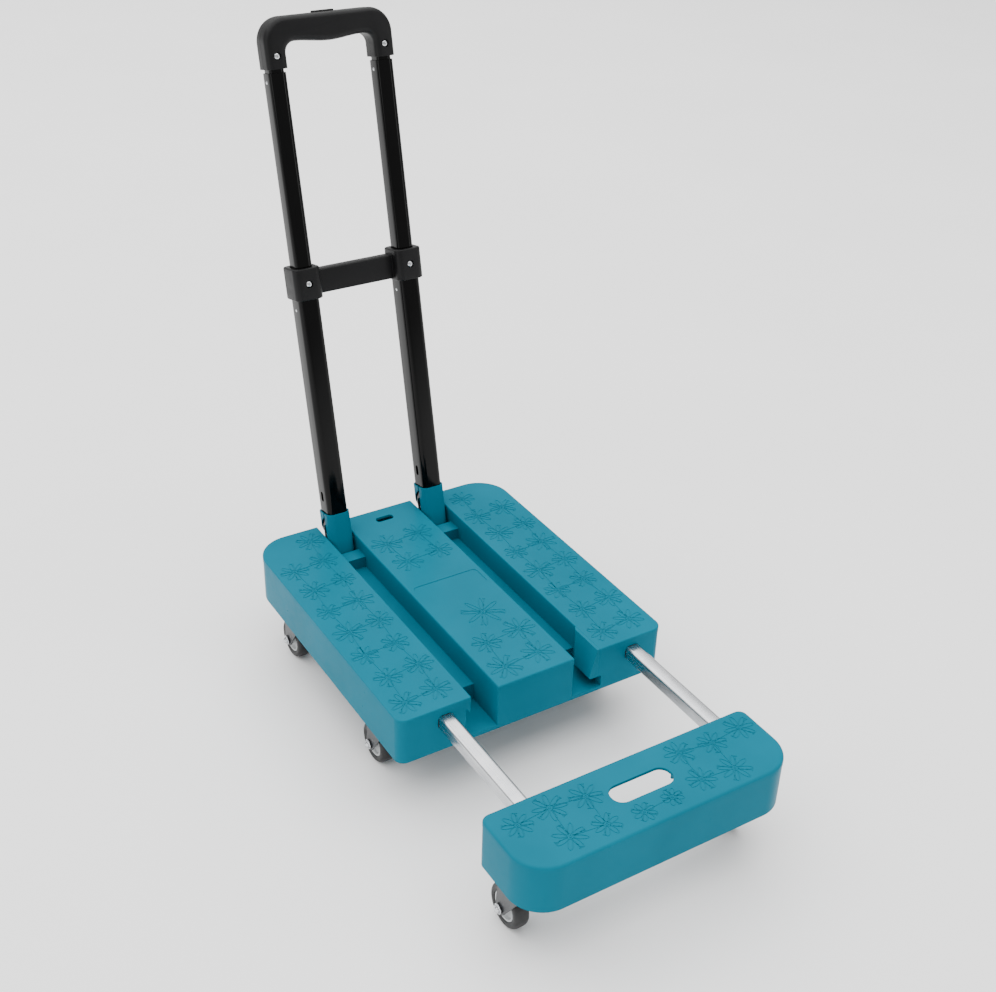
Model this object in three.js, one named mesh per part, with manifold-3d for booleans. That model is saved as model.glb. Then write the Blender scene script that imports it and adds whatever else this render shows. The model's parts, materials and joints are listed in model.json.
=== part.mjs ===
// A folding platform cart: a moulded deck on four swivel casters, a smaller front unit on two more
// that draws out of the deck on a pair of square slide tubes, and a telescoping two-pole handle that
// folds forward over the deck once its foot sleeves are lifted.
//
// Millimetres, +Z up. The cart faces -Y: the front unit is at -Y and the handle at +Y. Everything is
// laid out from the middle of the deck's front face at floor level, and the whole group is then moved
// so that its origin is the middle of its footprint, on the floor.

import * as THREE from "three";
import { mergeVertices } from "three/addons/utils/BufferGeometryUtils.js";
import Module from "manifold-3d";

const wasm = await Module();
wasm.setup();

// ---------------------------------------------------------------- driving dimensions

const gap = 0.3; // between pieces that rest on or in one another

// Both moulded platforms
const platformBottom = 76;
const platformHeight = 60;
const skin = 3;
const topEdgeRadius = 3.5;
const ribThickness = 2.5;

// Deck
const deckWidth = 350;
const deckLength = 390;
const deckFrontCorner = 12;
const deckRearCorner = 42;
const deckRibs = [30, 130, 190, 250, 352];
const ribFoot = 6; // how far the ribs stop short of the rim
const panelSize = [88, 32];
const panelY = 194;
const panelDepth = 0.6;
const rearSlotSize = [24, 10];
const rearSlotCorner = 4;
const rearSlotY = 366;

// The two channels that the poles fold into
const poleX = 68;
const channelWidth = 34.4;
const channelDraft = 2; // how far the inner wall leans in over the depth of the pocket
const channelFloor = 27; // above the platform's bottom
const pocketFloor = 5;
const pocketLength = 53;
const stepLength = 19.5;
const stepToTube = 9.5; // back to the front of the lower tube, level with the hinge
const stepTop = 42.5; // above the platform's bottom
const hookLength = 50;
const hookReach = 12; // into the side block, from the channel's outer wall
const hookTip = 22; // above the platform's bottom
const hookFoot = 20;
const hookLip = 3.5; // how far the hook stands into the channel at the top
const underHook = 5.5; // the foot of the space below the hook
const underHookReach = 5; // outwards from the channel's outer wall
const undercutTop = 35.5;
const undercutReach = 6.5;

// Front unit
const unitSideFromTube = [55, 28]; // outwards from the -X and +X slide tubes
const unitLength = 95;
const unitGap = 160; // from the deck's front face to the unit's rear face, drawn out
const unitFrontCorner = 40;
const unitRearCorner = 10;
const unitRibs = [22, 66]; // from the unit's rear face
const handSlotSize = [74, 25];
const handSlotInset = 43; // its centre, from the unit's rear face
const fingerSlotHeight = 36; // the recess in the rear wall below the hand slot
const fingerSlotWidth = 152;

// Slide tubes
const slideTube = 18;
const slideTubeRadius = 4;
const slideTubeWall = 1.4;
const slideTubeFromPole = [49, 64]; // the -X and +X tubes, outwards from the poles
const slideTubeZ = 39.3; // above the platform's bottom
const slideTubeReach = 110; // into the deck, drawn out
const slideTubeHold = 82; // into the front unit
const slideClearance = 0.9;

// Handle: measured along the poles from the hinge pin, which is level with the deck's top
const tilt = 12.5; // degrees back from upright
const hingeY = 366.5;
const footBase = [28, 30, 3];
const footWidth = 20;
const footThickness = 10;
const footHeadRadius = 7;
const pinRadius = 3.5;
const lowerTube = { width: 27, depth: 31, radius: 7, wall: 1.4, from: -9, to: 340.5 };
const midTube = { width: 22, depth: 25.5, radius: 6.5, wall: 1.2, from: 258, to: 566 };
const innerTube = { width: 18.5, depth: 22, radius: 5.5, wall: 1.2, from: 281, to: 590 };
const footNotch = 17; // how much of the lower tube's front wall is open for the foot
const lockHole = [6, 13];
const lockHoleAt = 52;

// Foot sleeves
const sleeveClearance = 0.4;
const sleeveWall = 1.7;
const sleeveFrom = -23.5;
const sleeveTo = 30;
const sleeveSlit = 2.5;

// Bracket that joins the lower tubes
const collarWall = 4;
const collarRadius = 8;
const bracketFrom = 305;
const bracketTo = 343.3;
const bracketLip = 2.5;
const bridgeFrom = 307;
const bridgeTo = 337;
const bridgeFront = -3.9;
const bridgeRear = 12.5;

// Grip
const gripLeg = 25;
const gripDepth = 32;
const gripFrom = 570;
const gripTo = 626;
const gripBar = 28;
const gripCorner = 28;
const gripInnerCorner = 12;
const gripEdge = 6;
const fingerBulge = 3;
const buttonSize = [28, 9];
const buttonProud = 2;
const releaseBarSection = [8, 6];
const releaseBarPastPole = 2;
const releaseRodRadius = 2;
const releaseRodFrom = 300;
const releaseTravel = 3;
const releaseInset = 7; // the release bar, above the underside of the grip's top
const releaseRoom = 2; // round the ends of the release bar

// Screws
const screwHeadRadius = 3.6;
const screwHeadHeight = 1.9;
const screwShankRadius = 1.6;
const screwHole = 0.9; // how much wider the counterbore is than the head
const screwSink = 0.4; // the head, below the face
const screwReach = 2.1; // the shank, past the head
const gripScrewAt = 14; // above the foot of the grip

// Casters
const wheelRadius = 25.5;
const wheelWidth = 18;
const rimRadius = 17;
const hubBoss = 6.5;
const axleRadius = 3;
const hubWeb = 8;
const rimInset = 1.5; // the rim's edges, from the sides of the tyre
const rimThickness = 3;
const trail = 18;
const forkPlate = 2;
const wheelSideClearance = 1.6;
const forkSpacer = 1.2; // the boss between the fork's -X cheek and the nut
const forkSpacerWall = 2.5;
const forkEyeRadius = 8;
const forkFront = -14;
const forkRear = 21;
const forkWebHeight = 15;
const crownTop = 75;
const crownThickness = 2.5;
const padRecess = 12.5; // the caster plates' tops, above the platform's bottom
const padHeight = 5.2;
const padSize = 44;
const casterPlate = 40;
const casterPlateThickness = 3;
const raceRadius = 14;
const stemRadius = 5;
const rivetRadius = 8;
const rivetHeight = 2.5;
const nutFlange = 6;
const nutRadius = 4.6;
const nutHeight = 4.6;
const boltHeadRadius = 5.5;
const boltHeadHeight = 3.3;
const casterClearance = 0.4;

// Where each caster swivels, from the middle of the deck's front face
const casterRearY = 308;
const casterFrontY = 82;
const deckCasterX = 148;
const unitCasterInset = 25; // from the unit's sides
const unitCasterSetback = 43; // from the unit's rear face

// ---------------------------------------------------------------- derived levels

const platformTop = platformBottom + platformHeight;
const outerWall = poleX + channelWidth / 2; // of each channel
const slideTubeX = [-poleX - slideTubeFromPole[0], poleX + slideTubeFromPole[1]];
const unitSides = [slideTubeX[0] - unitSideFromTube[0], slideTubeX[1] + unitSideFromTube[1]];
const unitWidth = unitSides[1] - unitSides[0];
const unitX = (unitSides[0] + unitSides[1]) / 2;
const stepRear = hingeY - lowerTube.depth / 2 - stepToTube;
const stepFront = stepRear - stepLength;
const collarSize = [lowerTube.width + 2 * collarWall, lowerTube.depth + 2 * collarWall];
const releaseBarSize = [2 * (poleX + releaseBarPastPole), ...releaseBarSection];
const channelLevel = platformBottom + channelFloor;
const pocketLevel = platformBottom + pocketFloor;
const stepLevel = platformBottom + stepTop;
const slideLevel = platformBottom + slideTubeZ;
const casterPlateTop = platformBottom + padRecess;
const padBottom = casterPlateTop + gap;
const releaseLevel = gripTo - gripBar + releaseInset;
const unitCasterY = -(unitGap + unitCasterSetback);
const beyond = 5; // how far a cut runs past the face it opens

// ---------------------------------------------------------------- materials

const standard = (color, roughness, metalness) =>
  new THREE.MeshStandardMaterial({ color, roughness, metalness });
const tealPlastic = standard(0x00a8be, 0.42, 0);
const blackPlastic = standard(0x2a2a2a, 0.5, 0);
const blackPaint = standard(0x0b0b0c, 0.16, 0.3);
const greyPlastic = standard(0xd4d6d8, 0.45, 0);
const darkSteel = standard(0x4a4c50, 0.4, 0.8);
const chrome = standard(0xd8dadc, 0.12, 1);
const tyreRubber = standard(0x1d1d1f, 0.8, 0);

// ---------------------------------------------------------------- shapes

const X = new THREE.Vector3(1, 0, 0);
const Y = new THREE.Vector3(0, 1, 0);
const Z = new THREE.Vector3(0, 0, 1);

// A closed loop of points round a rectangle centred on the origin, anticlockwise from the -X -Y
// corner, with one radius for the two -Y corners and one for the two +Y corners.
function loop(width, length, frontRadius, rearRadius = frontRadius, steps = 3) {
  const corners = [
    [-1, -1, frontRadius],
    [1, -1, frontRadius],
    [1, 1, rearRadius],
    [-1, 1, rearRadius],
  ];
  return corners.flatMap(([sideX, sideY, radius], corner) =>
    Array.from({ length: steps + 1 }, (_, step) => {
      const angle = Math.PI + ((corner + step / steps) * Math.PI) / 2;
      return new THREE.Vector2(
        sideX * (width / 2 - radius) + radius * Math.cos(angle),
        sideY * (length / 2 - radius) + radius * Math.sin(angle),
      );
    }),
  );
}

// A solid through loops of the same length, from the lowest level to the highest.
function loft(levels) {
  const count = levels[0].points.length;
  const positions = levels.flatMap(({ z, points }) => points.flatMap((p) => [p.x, p.y, z]));
  const index = [];
  for (let level = 0; level < levels.length - 1; level++)
    for (let i = 0; i < count; i++) {
      const a = level * count + i;
      const b = level * count + ((i + 1) % count);
      index.push(a, b, b + count, a, b + count, a + count);
    }
  const last = (levels.length - 1) * count;
  for (const [a, b, c] of THREE.ShapeUtils.triangulateShape(levels[0].points, []))
    index.push(a, c, b);
  for (const [a, b, c] of THREE.ShapeUtils.triangulateShape(levels.at(-1).points, []))
    index.push(last + a, last + b, last + c);
  return new THREE.BufferGeometry()
    .setAttribute("position", new THREE.Float32BufferAttribute(positions, 3))
    .setIndex(index);
}

// An outline in X and Y, extruded from one level to another.
function prism(points, from, to) {
  const shape = points instanceof THREE.Shape ? points : new THREE.Shape(points);
  const options = { depth: to - from, bevelEnabled: false, curveSegments: 6 };
  return new THREE.ExtrudeGeometry(shape, options).translate(0, 0, from);
}

const vectors = (pairs) => pairs.map(([u, v]) => new THREE.Vector2(u, v));

// An outline in Y and Z extruded along X, and one in X and Z extruded along Y.
const prismX = (pairs, from, to) =>
  prism(vectors(pairs), from, to).applyMatrix4(new THREE.Matrix4().makeBasis(Y, Z, X));
const prismY = (pairs, from, to) =>
  prism(vectors(pairs), -to, -from).applyMatrix4(
    new THREE.Matrix4().makeBasis(X, Z, Y.clone().negate()),
  );

const block = (x0, x1, y0, y1, z0, z1) =>
  new THREE.BoxGeometry(x1 - x0, y1 - y0, z1 - z0).translate(
    (x0 + x1) / 2,
    (y0 + y1) / 2,
    (z0 + z1) / 2,
  );

// Cylinders along each axis, between two stations on that axis.
const post = (radius, from, to, sides = 20) =>
  new THREE.CylinderGeometry(radius, radius, to - from, sides)
    .rotateX(Math.PI / 2)
    .translate(0, 0, (from + to) / 2);
const axle = (radius, from, to, sides = 20) =>
  new THREE.CylinderGeometry(radius, radius, to - from, sides)
    .rotateZ(Math.PI / 2)
    .translate((from + to) / 2, 0, 0);
const bore = (radius, from, to, sides = 20) =>
  new THREE.CylinderGeometry(radius, radius, to - from, sides).translate(0, (from + to) / 2, 0);

// A profile of [radius, station] pairs turned round the X axis.
const turned = (pairs, sides) =>
  new THREE.LatheGeometry(vectors(pairs), sides).rotateZ(-Math.PI / 2);

// ---------------------------------------------------------------- joining and cutting

function solid(geometry) {
  const bare = geometry.clone();
  bare.deleteAttribute("normal");
  bare.deleteAttribute("uv");
  const merged = mergeVertices(bare);
  return new wasm.Manifold(
    new wasm.Mesh({
      numProp: 3,
      vertProperties: merged.attributes.position.array,
      triVerts: new Uint32Array(merged.index.array),
    }),
  );
}

const joined = (first, ...others) =>
  others.reduce((whole, part) => whole.add(solid(part)), solid(first));
const cut = (whole, ...cutters) => cutters.reduce((left, part) => left.subtract(solid(part)), whole);

function geometryOf(manifold) {
  const mesh = manifold.getMesh();
  return new THREE.BufferGeometry()
    .setAttribute("position", new THREE.BufferAttribute(mesh.vertProperties, mesh.numProp))
    .setIndex(new THREE.BufferAttribute(mesh.triVerts, 1));
}

function place(parent, name, shape, material) {
  const geometry = shape.isBufferGeometry ? shape : geometryOf(shape);
  geometry.computeVertexNormals();
  const mesh = new THREE.Mesh(geometry, material);
  mesh.name = name;
  parent.add(mesh);
  return mesh;
}

const cart = new THREE.Group();

// ---------------------------------------------------------------- platforms

// A platform's outside: straight walls and a rounded top edge.
function platformBody(width, length, frontRadius, rearRadius) {
  const rounding = [0, 0.35, 0.7, 1].map((share) => (share * Math.PI) / 2);
  const levels = rounding.map((angle) => {
    const inset = topEdgeRadius * (1 - Math.cos(angle));
    return {
      z: platformTop - topEdgeRadius * (1 - Math.sin(angle)),
      points: loop(width - 2 * inset, length - 2 * inset, frontRadius - inset, rearRadius - inset),
    };
  });
  const foot = { z: platformBottom, points: loop(width, length, frontRadius, rearRadius) };
  return solid(loft([foot, ...levels]));
}

// The space inside it, open at the bottom.
function platformHollow(width, length, frontRadius, rearRadius) {
  const points = loop(
    width - 2 * skin,
    length - 2 * skin,
    frontRadius - skin,
    rearRadius - skin,
  );
  return solid(prism(points, platformBottom - beyond, platformTop - skin));
}

const rectangle = (width, depth, radius, steps = 3) => loop(width, depth, radius, radius, steps);

function squareTube({ width, depth, radius, wall, from, to }, steps = 3) {
  const inner = rectangle(width - 2 * wall, depth - 2 * wall, radius - wall, steps);
  const shape = new THREE.Shape(rectangle(width, depth, radius, steps));
  shape.holes.push(new THREE.Path(inner));
  return prism(shape, from, to);
}

// A square passage for a slide tube, along Y.
function slidePassage(x, from, to, clearance) {
  const side = slideTube + 2 * clearance;
  return prism(rectangle(side, side, slideTubeRadius), from, to)
    .rotateX(Math.PI / 2)
    .translate(x, 0, slideLevel)
    .translate(0, from + to, 0);
}

const deckMiddle = deckLength / 2;

// A channel's outline in X and Z between two levels; side is -1 or 1.
function channelSection(side, low, high, wall) {
  const inner = poleX - channelWidth / 2 - wall;
  const outer = poleX + channelWidth / 2 + wall;
  const lean = (channelDraft * (platformTop - low)) / (platformTop - pocketLevel);
  const corners = [
    [inner, high],
    [inner + lean, low],
    [outer, low],
    [outer, high],
  ].map(([x, z]) => [side * x, z]);
  return side > 0 ? corners : corners.reverse();
}

function buildDeck() {
  const outside = platformBody(deckWidth, deckLength, deckFrontCorner, deckRearCorner).translate([
    0,
    deckMiddle,
    0,
  ]);
  let hollow = platformHollow(deckWidth, deckLength, deckFrontCorner, deckRearCorner).translate([
    0,
    deckMiddle,
    0,
  ]);
  const high = platformTop + beyond;

  // The troughs keep a skin of plastic round each channel.
  for (const side of [-1, 1]) {
    const deep = channelSection(side, pocketLevel - skin, high, skin);
    const shallow = channelSection(side, channelLevel - skin, high, skin);
    hollow = cut(
      hollow,
      prismY(deep, -beyond, pocketLength + skin),
      prismY(shallow, pocketLength, deckLength + beyond),
    );
    const hookBlock = [side * (outerWall - 1), side * (outerWall + hookReach - 1)];
    hookBlock.sort((a, b) => a - b);
    hollow = cut(hollow, block(...hookBlock, 0, hookLength, platformBottom - beyond, platformTop));
  }

  let deck = outside.subtract(hollow);

  // Ribs across the underside, with passages for the slide tubes.
  for (const y of deckRibs) {
    const rib = solid(
      block(
        -deckWidth / 2 + 1,
        deckWidth / 2 - 1,
        y,
        y + ribThickness,
        platformBottom + ribFoot,
        platformTop - 1,
      ),
    ).intersect(hollow);
    const passages = slideTubeX.map((x) =>
      slidePassage(x, y - 1, y + ribThickness + 1, slideClearance),
    );
    deck = deck.add(cut(rib, ...passages));
  }
  const keel = solid(
    block(
      -ribThickness / 2,
      ribThickness / 2,
      1,
      stepFront,
      platformBottom + 2 * ribFoot,
      platformTop - 1,
    ),
  ).intersect(hollow);
  deck = deck.add(keel);

  // Pads that the casters screw to, joined to the side walls.
  for (const side of [-1, 1])
    for (const y of [casterFrontY, casterRearY]) {
      const span = [side * (deckCasterX - padSize / 2), side * (deckWidth / 2 - 1)];
      const pad = block(
        ...span.sort((a, b) => a - b),
        y - padSize / 2,
        y + padSize / 2,
        padBottom,
        padBottom + padHeight,
      );
      deck = deck.add(solid(pad).intersect(outside));
    }

  for (const side of [-1, 1]) {
    deck = cut(
      deck,
      prismY(channelSection(side, pocketLevel, high, 0), -beyond, pocketLength),
      prismY(channelSection(side, channelLevel, high, 0), pocketLength, deckLength + beyond),
    );
    // A step across the channel in front of the pole's foot.
    const step = channelSection(side, channelLevel - 1, stepLevel, 0.5);
    deck = deck.add(solid(prismY(step, stepFront, stepRear)));
  }

  // The -X block is undercut at the front, and the +X one has a hook standing into the pocket.
  const undercut = [
    [-outerWall + 1, platformBottom + undercutTop],
    [-outerWall - undercutReach + 0.5, platformBottom + undercutTop + 9.5],
    [-outerWall - undercutReach, platformBottom + undercutTop + 6.5],
    [-outerWall - 1, pocketLevel + 0.5],
    [-outerWall + 1, pocketLevel + 0.5],
  ];
  const hook = [
    [outerWall - hookLip, platformTop],
    [outerWall - hookReach, platformBottom + hookTip],
    [outerWall - hookReach + 1.5, platformBottom + hookFoot],
    [outerWall + 1, platformBottom + hookFoot],
    [outerWall + 1, platformTop],
  ];
  const hookUndercut = block(
    outerWall - 1,
    outerWall + underHookReach,
    -beyond,
    hookLength - skin,
    platformBottom + underHook,
    platformBottom + hookFoot,
  );
  deck = cut(deck, prismY(undercut, -beyond, hookLength - skin));
  deck = cut(deck.add(solid(prismY(hook, 0.5, hookLength))), hookUndercut);

  // Openings: the slide tubes' mouths, a slot behind, and a shallow panel on the middle block.
  const mouths = slideTubeX.map((x) => slidePassage(x, -beyond, skin + beyond, slideClearance / 2));
  const slot = prism(
    rectangle(...rearSlotSize, rearSlotCorner),
    platformTop - skin - 1,
    platformTop + beyond,
  ).translate(0, rearSlotY, 0);
  const panel = prism(
    rectangle(...panelSize, 6),
    platformTop - panelDepth,
    platformTop + beyond,
  ).translate(0, panelY, 0);
  return cut(deck, ...mouths, slot, panel);
}

place(cart, "deck", buildDeck(), tealPlastic);

const unitRear = -unitGap;
const unitMiddle = unitRear - unitLength / 2;
const unitCasterX = [
  unitX - unitWidth / 2 + unitCasterInset,
  unitX + unitWidth / 2 - unitCasterInset,
];

function buildFrontUnit() {
  const inPlace = [unitX, unitMiddle, 0];
  const outside = platformBody(unitWidth, unitLength, unitFrontCorner, unitRearCorner).translate(
    inPlace,
  );
  const hollow = platformHollow(unitWidth, unitLength, unitFrontCorner, unitRearCorner).translate(
    inPlace,
  );
  let unit = outside.subtract(hollow);
  const low = padBottom + padHeight;
  for (const inset of unitRibs) {
    const y = unitRear - inset;
    const rib = solid(
      block(
        unitX - unitWidth / 2 + 1,
        unitX + unitWidth / 2 - 1,
        y - ribThickness,
        y,
        low + 3,
        platformTop - 1,
      ),
    ).intersect(hollow);
    unit = unit.add(
      cut(rib, ...slideTubeX.map((x) => slidePassage(x, y - ribThickness - 1, y + 1, gap))),
    );
  }
  for (const x of unitCasterX) {
    const side = Math.sign(x - unitX);
    const span = [x - (side * padSize) / 2, unitX + side * (unitWidth / 2 - 1)];
    const pad = block(
      ...span.sort((a, b) => a - b),
      unitCasterY - padSize / 2,
      unitCasterY + padSize / 2,
      padBottom,
      low,
    );
    unit = unit.add(solid(pad).intersect(outside));
  }

  // The hand slot, with a recess in the rear wall that lets the fingers round its edge. The rib
  // behind the slot is left out over the same width.
  const slotY = unitRear - handSlotInset;
  const slot = prism(
    rectangle(...handSlotSize, handSlotSize[1] / 2 - 0.1, 5),
    platformBottom - beyond,
    platformTop + beyond,
  ).translate(unitX, slotY, 0);
  const fingerCut = (rear, high) =>
    block(
      unitX - fingerSlotWidth / 2,
      unitX + fingerSlotWidth / 2,
      unitRear - unitRibs[0] - ribThickness - 1,
      rear,
      platformBottom - beyond,
      high,
    );
  const fingers = fingerCut(unitRear + beyond, platformBottom + fingerSlotHeight);
  const ribGap = fingerCut(unitRear - skin, platformTop - skin);
  const mouths = slideTubeX.map((x) =>
    slidePassage(x, unitRear - skin - beyond, unitRear + beyond, gap),
  );
  return cut(unit, slot, fingers, ribGap, ...mouths);
}

place(cart, "front_unit", buildFrontUnit(), tealPlastic);

// ---------------------------------------------------------------- slide tubes

for (const [i, hand] of ["left", "right"].entries()) {
  const length = slideTubeReach + unitGap + slideTubeHold;
  const tube = squareTube({
    width: slideTube,
    depth: slideTube,
    radius: slideTubeRadius,
    wall: slideTubeWall,
    from: -length,
    to: 0,
  }).rotateX(-Math.PI / 2);
  tube.translate(slideTubeX[i], slideTubeReach, slideLevel);
  place(cart, "slide_tube_" + hand, tube, chrome);

  const inner = slideTube - 2 * slideTubeWall - 2 * gap;
  const head = slideTube + 2 * (slideClearance - 0.5);
  const plug = joined(
    prism(rectangle(head, head, slideTubeRadius), gap, gap + 3),
    prism(rectangle(inner, inner, slideTubeRadius - slideTubeWall), -10, gap + 1),
  );
  const plugMesh = place(cart, "tube_end_plug_" + hand, plug, blackPlastic);
  plugMesh.position.set(slideTubeX[i], slideTubeReach, slideLevel);
  plugMesh.rotation.x = -Math.PI / 2;
}

// ---------------------------------------------------------------- handle

// Pole coordinates: X across the cart, Y from front to back across the pole, Z up along the pole.
const handle = new THREE.Group();
handle.position.set(0, hingeY, platformTop);
handle.rotation.x = -THREE.MathUtils.degToRad(tilt);
cart.add(handle);

// One counterbored screw, its head just inside the face at -Y.
const screw = (face) =>
  joined(
    bore(screwHeadRadius, face + screwSink, face + screwSink + screwHeadHeight, 16),
    bore(screwShankRadius, face + screwHeadHeight, face + screwHeadHeight + screwReach, 12),
  );
const screwSeat = (face) => [
  bore(screwHeadRadius + screwHole, face - beyond, face + screwSink + screwHeadHeight + gap, 16),
  bore(screwShankRadius + gap, face, face + screwHeadHeight + screwReach + 0.4, 12),
];

const lowerInside = {
  width: lowerTube.width - 2 * lowerTube.wall,
  depth: lowerTube.depth - 2 * lowerTube.wall,
};

for (const [hand, side] of [
  ["left", -1],
  ["right", 1],
]) {
  // The foot stands upright on the channel's floor, with its eye level with the deck's top.
  const base = channelLevel + gap - platformTop;
  const foot = cut(
    joined(
      new THREE.BoxGeometry(...footBase).translate(0, 0, base + footBase[2] / 2),
      new THREE.BoxGeometry(footWidth, footThickness, -base - 1).translate(0, 0, (base + 1) / 2),
      axle(footHeadRadius, -footWidth / 2, footWidth / 2, 24),
    ),
    axle(pinRadius + gap, -footWidth, footWidth, 16),
  );
  const footMesh = place(cart, "pole_foot_" + hand, foot, darkSteel);
  footMesh.position.set(side * poleX, hingeY, platformTop);

  const tubeAxis = new THREE.Group();
  tubeAxis.position.x = side * poleX;
  handle.add(tubeAxis);

  const pinHalf = lowerTube.width / 2 - 0.1;
  place(tubeAxis, "hinge_pin_" + hand, axle(pinRadius, -pinHalf, pinHalf, 16), chrome);

  // The lower tube is open at the front round the hinge, and has a lock hole on its -X side.
  const lower = cut(
    solid(squareTube(lowerTube)),
    axle(pinRadius + gap, -lowerTube.width, lowerTube.width, 16),
    block(
      -lowerInside.width / 2 + 2,
      lowerInside.width / 2 - 2,
      -lowerTube.depth,
      -lowerInside.depth / 2 + 3,
      lowerTube.from - 1,
      lowerTube.from + footNotch,
    ),
    prism(rectangle(...lockHole, lockHole[0] / 2 - 0.1, 4), -lowerTube.width, 0)
      .rotateY(Math.PI / 2)
      .rotateX(Math.PI / 2)
      .translate(0, 0, lockHoleAt),
  );
  place(tubeAxis, "lower_tube_" + hand, lower, blackPaint);
  place(tubeAxis, "mid_tube_" + hand, squareTube(midTube), blackPaint);
  place(tubeAxis, "inner_tube_" + hand, squareTube(innerTube), blackPaint);

  // The sleeve slides down over the hinge. A slit on its -X side opens out towards the bottom.
  const sleeveTube = {
    width: lowerTube.width + 2 * (sleeveClearance + sleeveWall),
    depth: lowerTube.depth + 2 * (sleeveClearance + sleeveWall),
    radius: lowerTube.radius + sleeveClearance + sleeveWall,
    wall: sleeveWall,
    from: sleeveFrom,
    to: sleeveTo,
  };
  const halfDepth = sleeveTube.depth / 2;
  const slitEdge = [
    [-3, sleeveFrom - 1],
    [halfDepth + 1, sleeveFrom - 1],
    [halfDepth + 1, sleeveTo - 39],
    [halfDepth - 2.5, sleeveTo - 37],
    [halfDepth - 6.5, sleeveTo - 33],
    [halfDepth - 11.5, sleeveTo - 26],
    [-3 + sleeveSlit + 1.5, sleeveTo - 14],
    [-3 + sleeveSlit, sleeveTo - 6],
    [-3 + sleeveSlit, sleeveTo + 1],
    [-3, sleeveTo + 1],
  ];
  const sleeve = cut(
    solid(squareTube(sleeveTube)),
    prismX(slitEdge, -sleeveTube.width, -sleeveTube.width / 2 + sleeveTube.radius - 2),
  );
  place(tubeAxis, "sleeve_" + hand, sleeve, tealPlastic);

  // The release rod hangs from the bar in the grip, inside the inner tube.
  place(
    tubeAxis,
    "release_rod_" + hand,
    post(releaseRodRadius, releaseRodFrom, releaseLevel - gap, 10),
    chrome,
  );

  const bracketScrew = place(tubeAxis, "bracket_screw_" + hand, screw(-collarSize[1] / 2), chrome);
  bracketScrew.position.z = (bracketFrom + bracketTo) / 2;
  const gripScrew = place(tubeAxis, "grip_screw_" + hand, screw(-gripDepth / 2), chrome);
  gripScrew.position.z = gripFrom + gripScrewAt;
}

// The bracket: a collar on each lower tube, whose lip fits the next tube, and a bridge between them.
function buildBracket() {
  const bridge = block(-poleX, poleX, bridgeFront, bridgeRear, bridgeFrom, bridgeTo);
  const collars = [-1, 1].map((side) =>
    prism(rectangle(...collarSize, collarRadius), bracketFrom, bracketTo).translate(
      side * poleX,
      0,
      0,
    ),
  );
  let bracket = joined(bridge, ...collars);
  for (const side of [-1, 1]) {
    const seat = rectangle(
      lowerTube.width + 2 * gap,
      lowerTube.depth + 2 * gap,
      lowerTube.radius + gap,
    );
    const lip = rectangle(
      midTube.width + 2 * sleeveClearance,
      midTube.depth + 2 * sleeveClearance,
      midTube.radius + sleeveClearance,
    );
    const across = side * poleX;
    const middle = (bracketFrom + bracketTo) / 2;
    bracket = cut(
      bracket,
      prism(seat, bracketFrom - beyond, bracketTo - bracketLip).translate(across, 0, 0),
      prism(lip, bracketFrom, bracketTo + beyond).translate(across, 0, 0),
      ...screwSeat(-collarSize[1] / 2).map((hole) => hole.translate(across, 0, middle)),
    );
  }
  return bracket;
}

place(handle, "handle_bracket", buildBracket(), blackPlastic);

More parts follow.
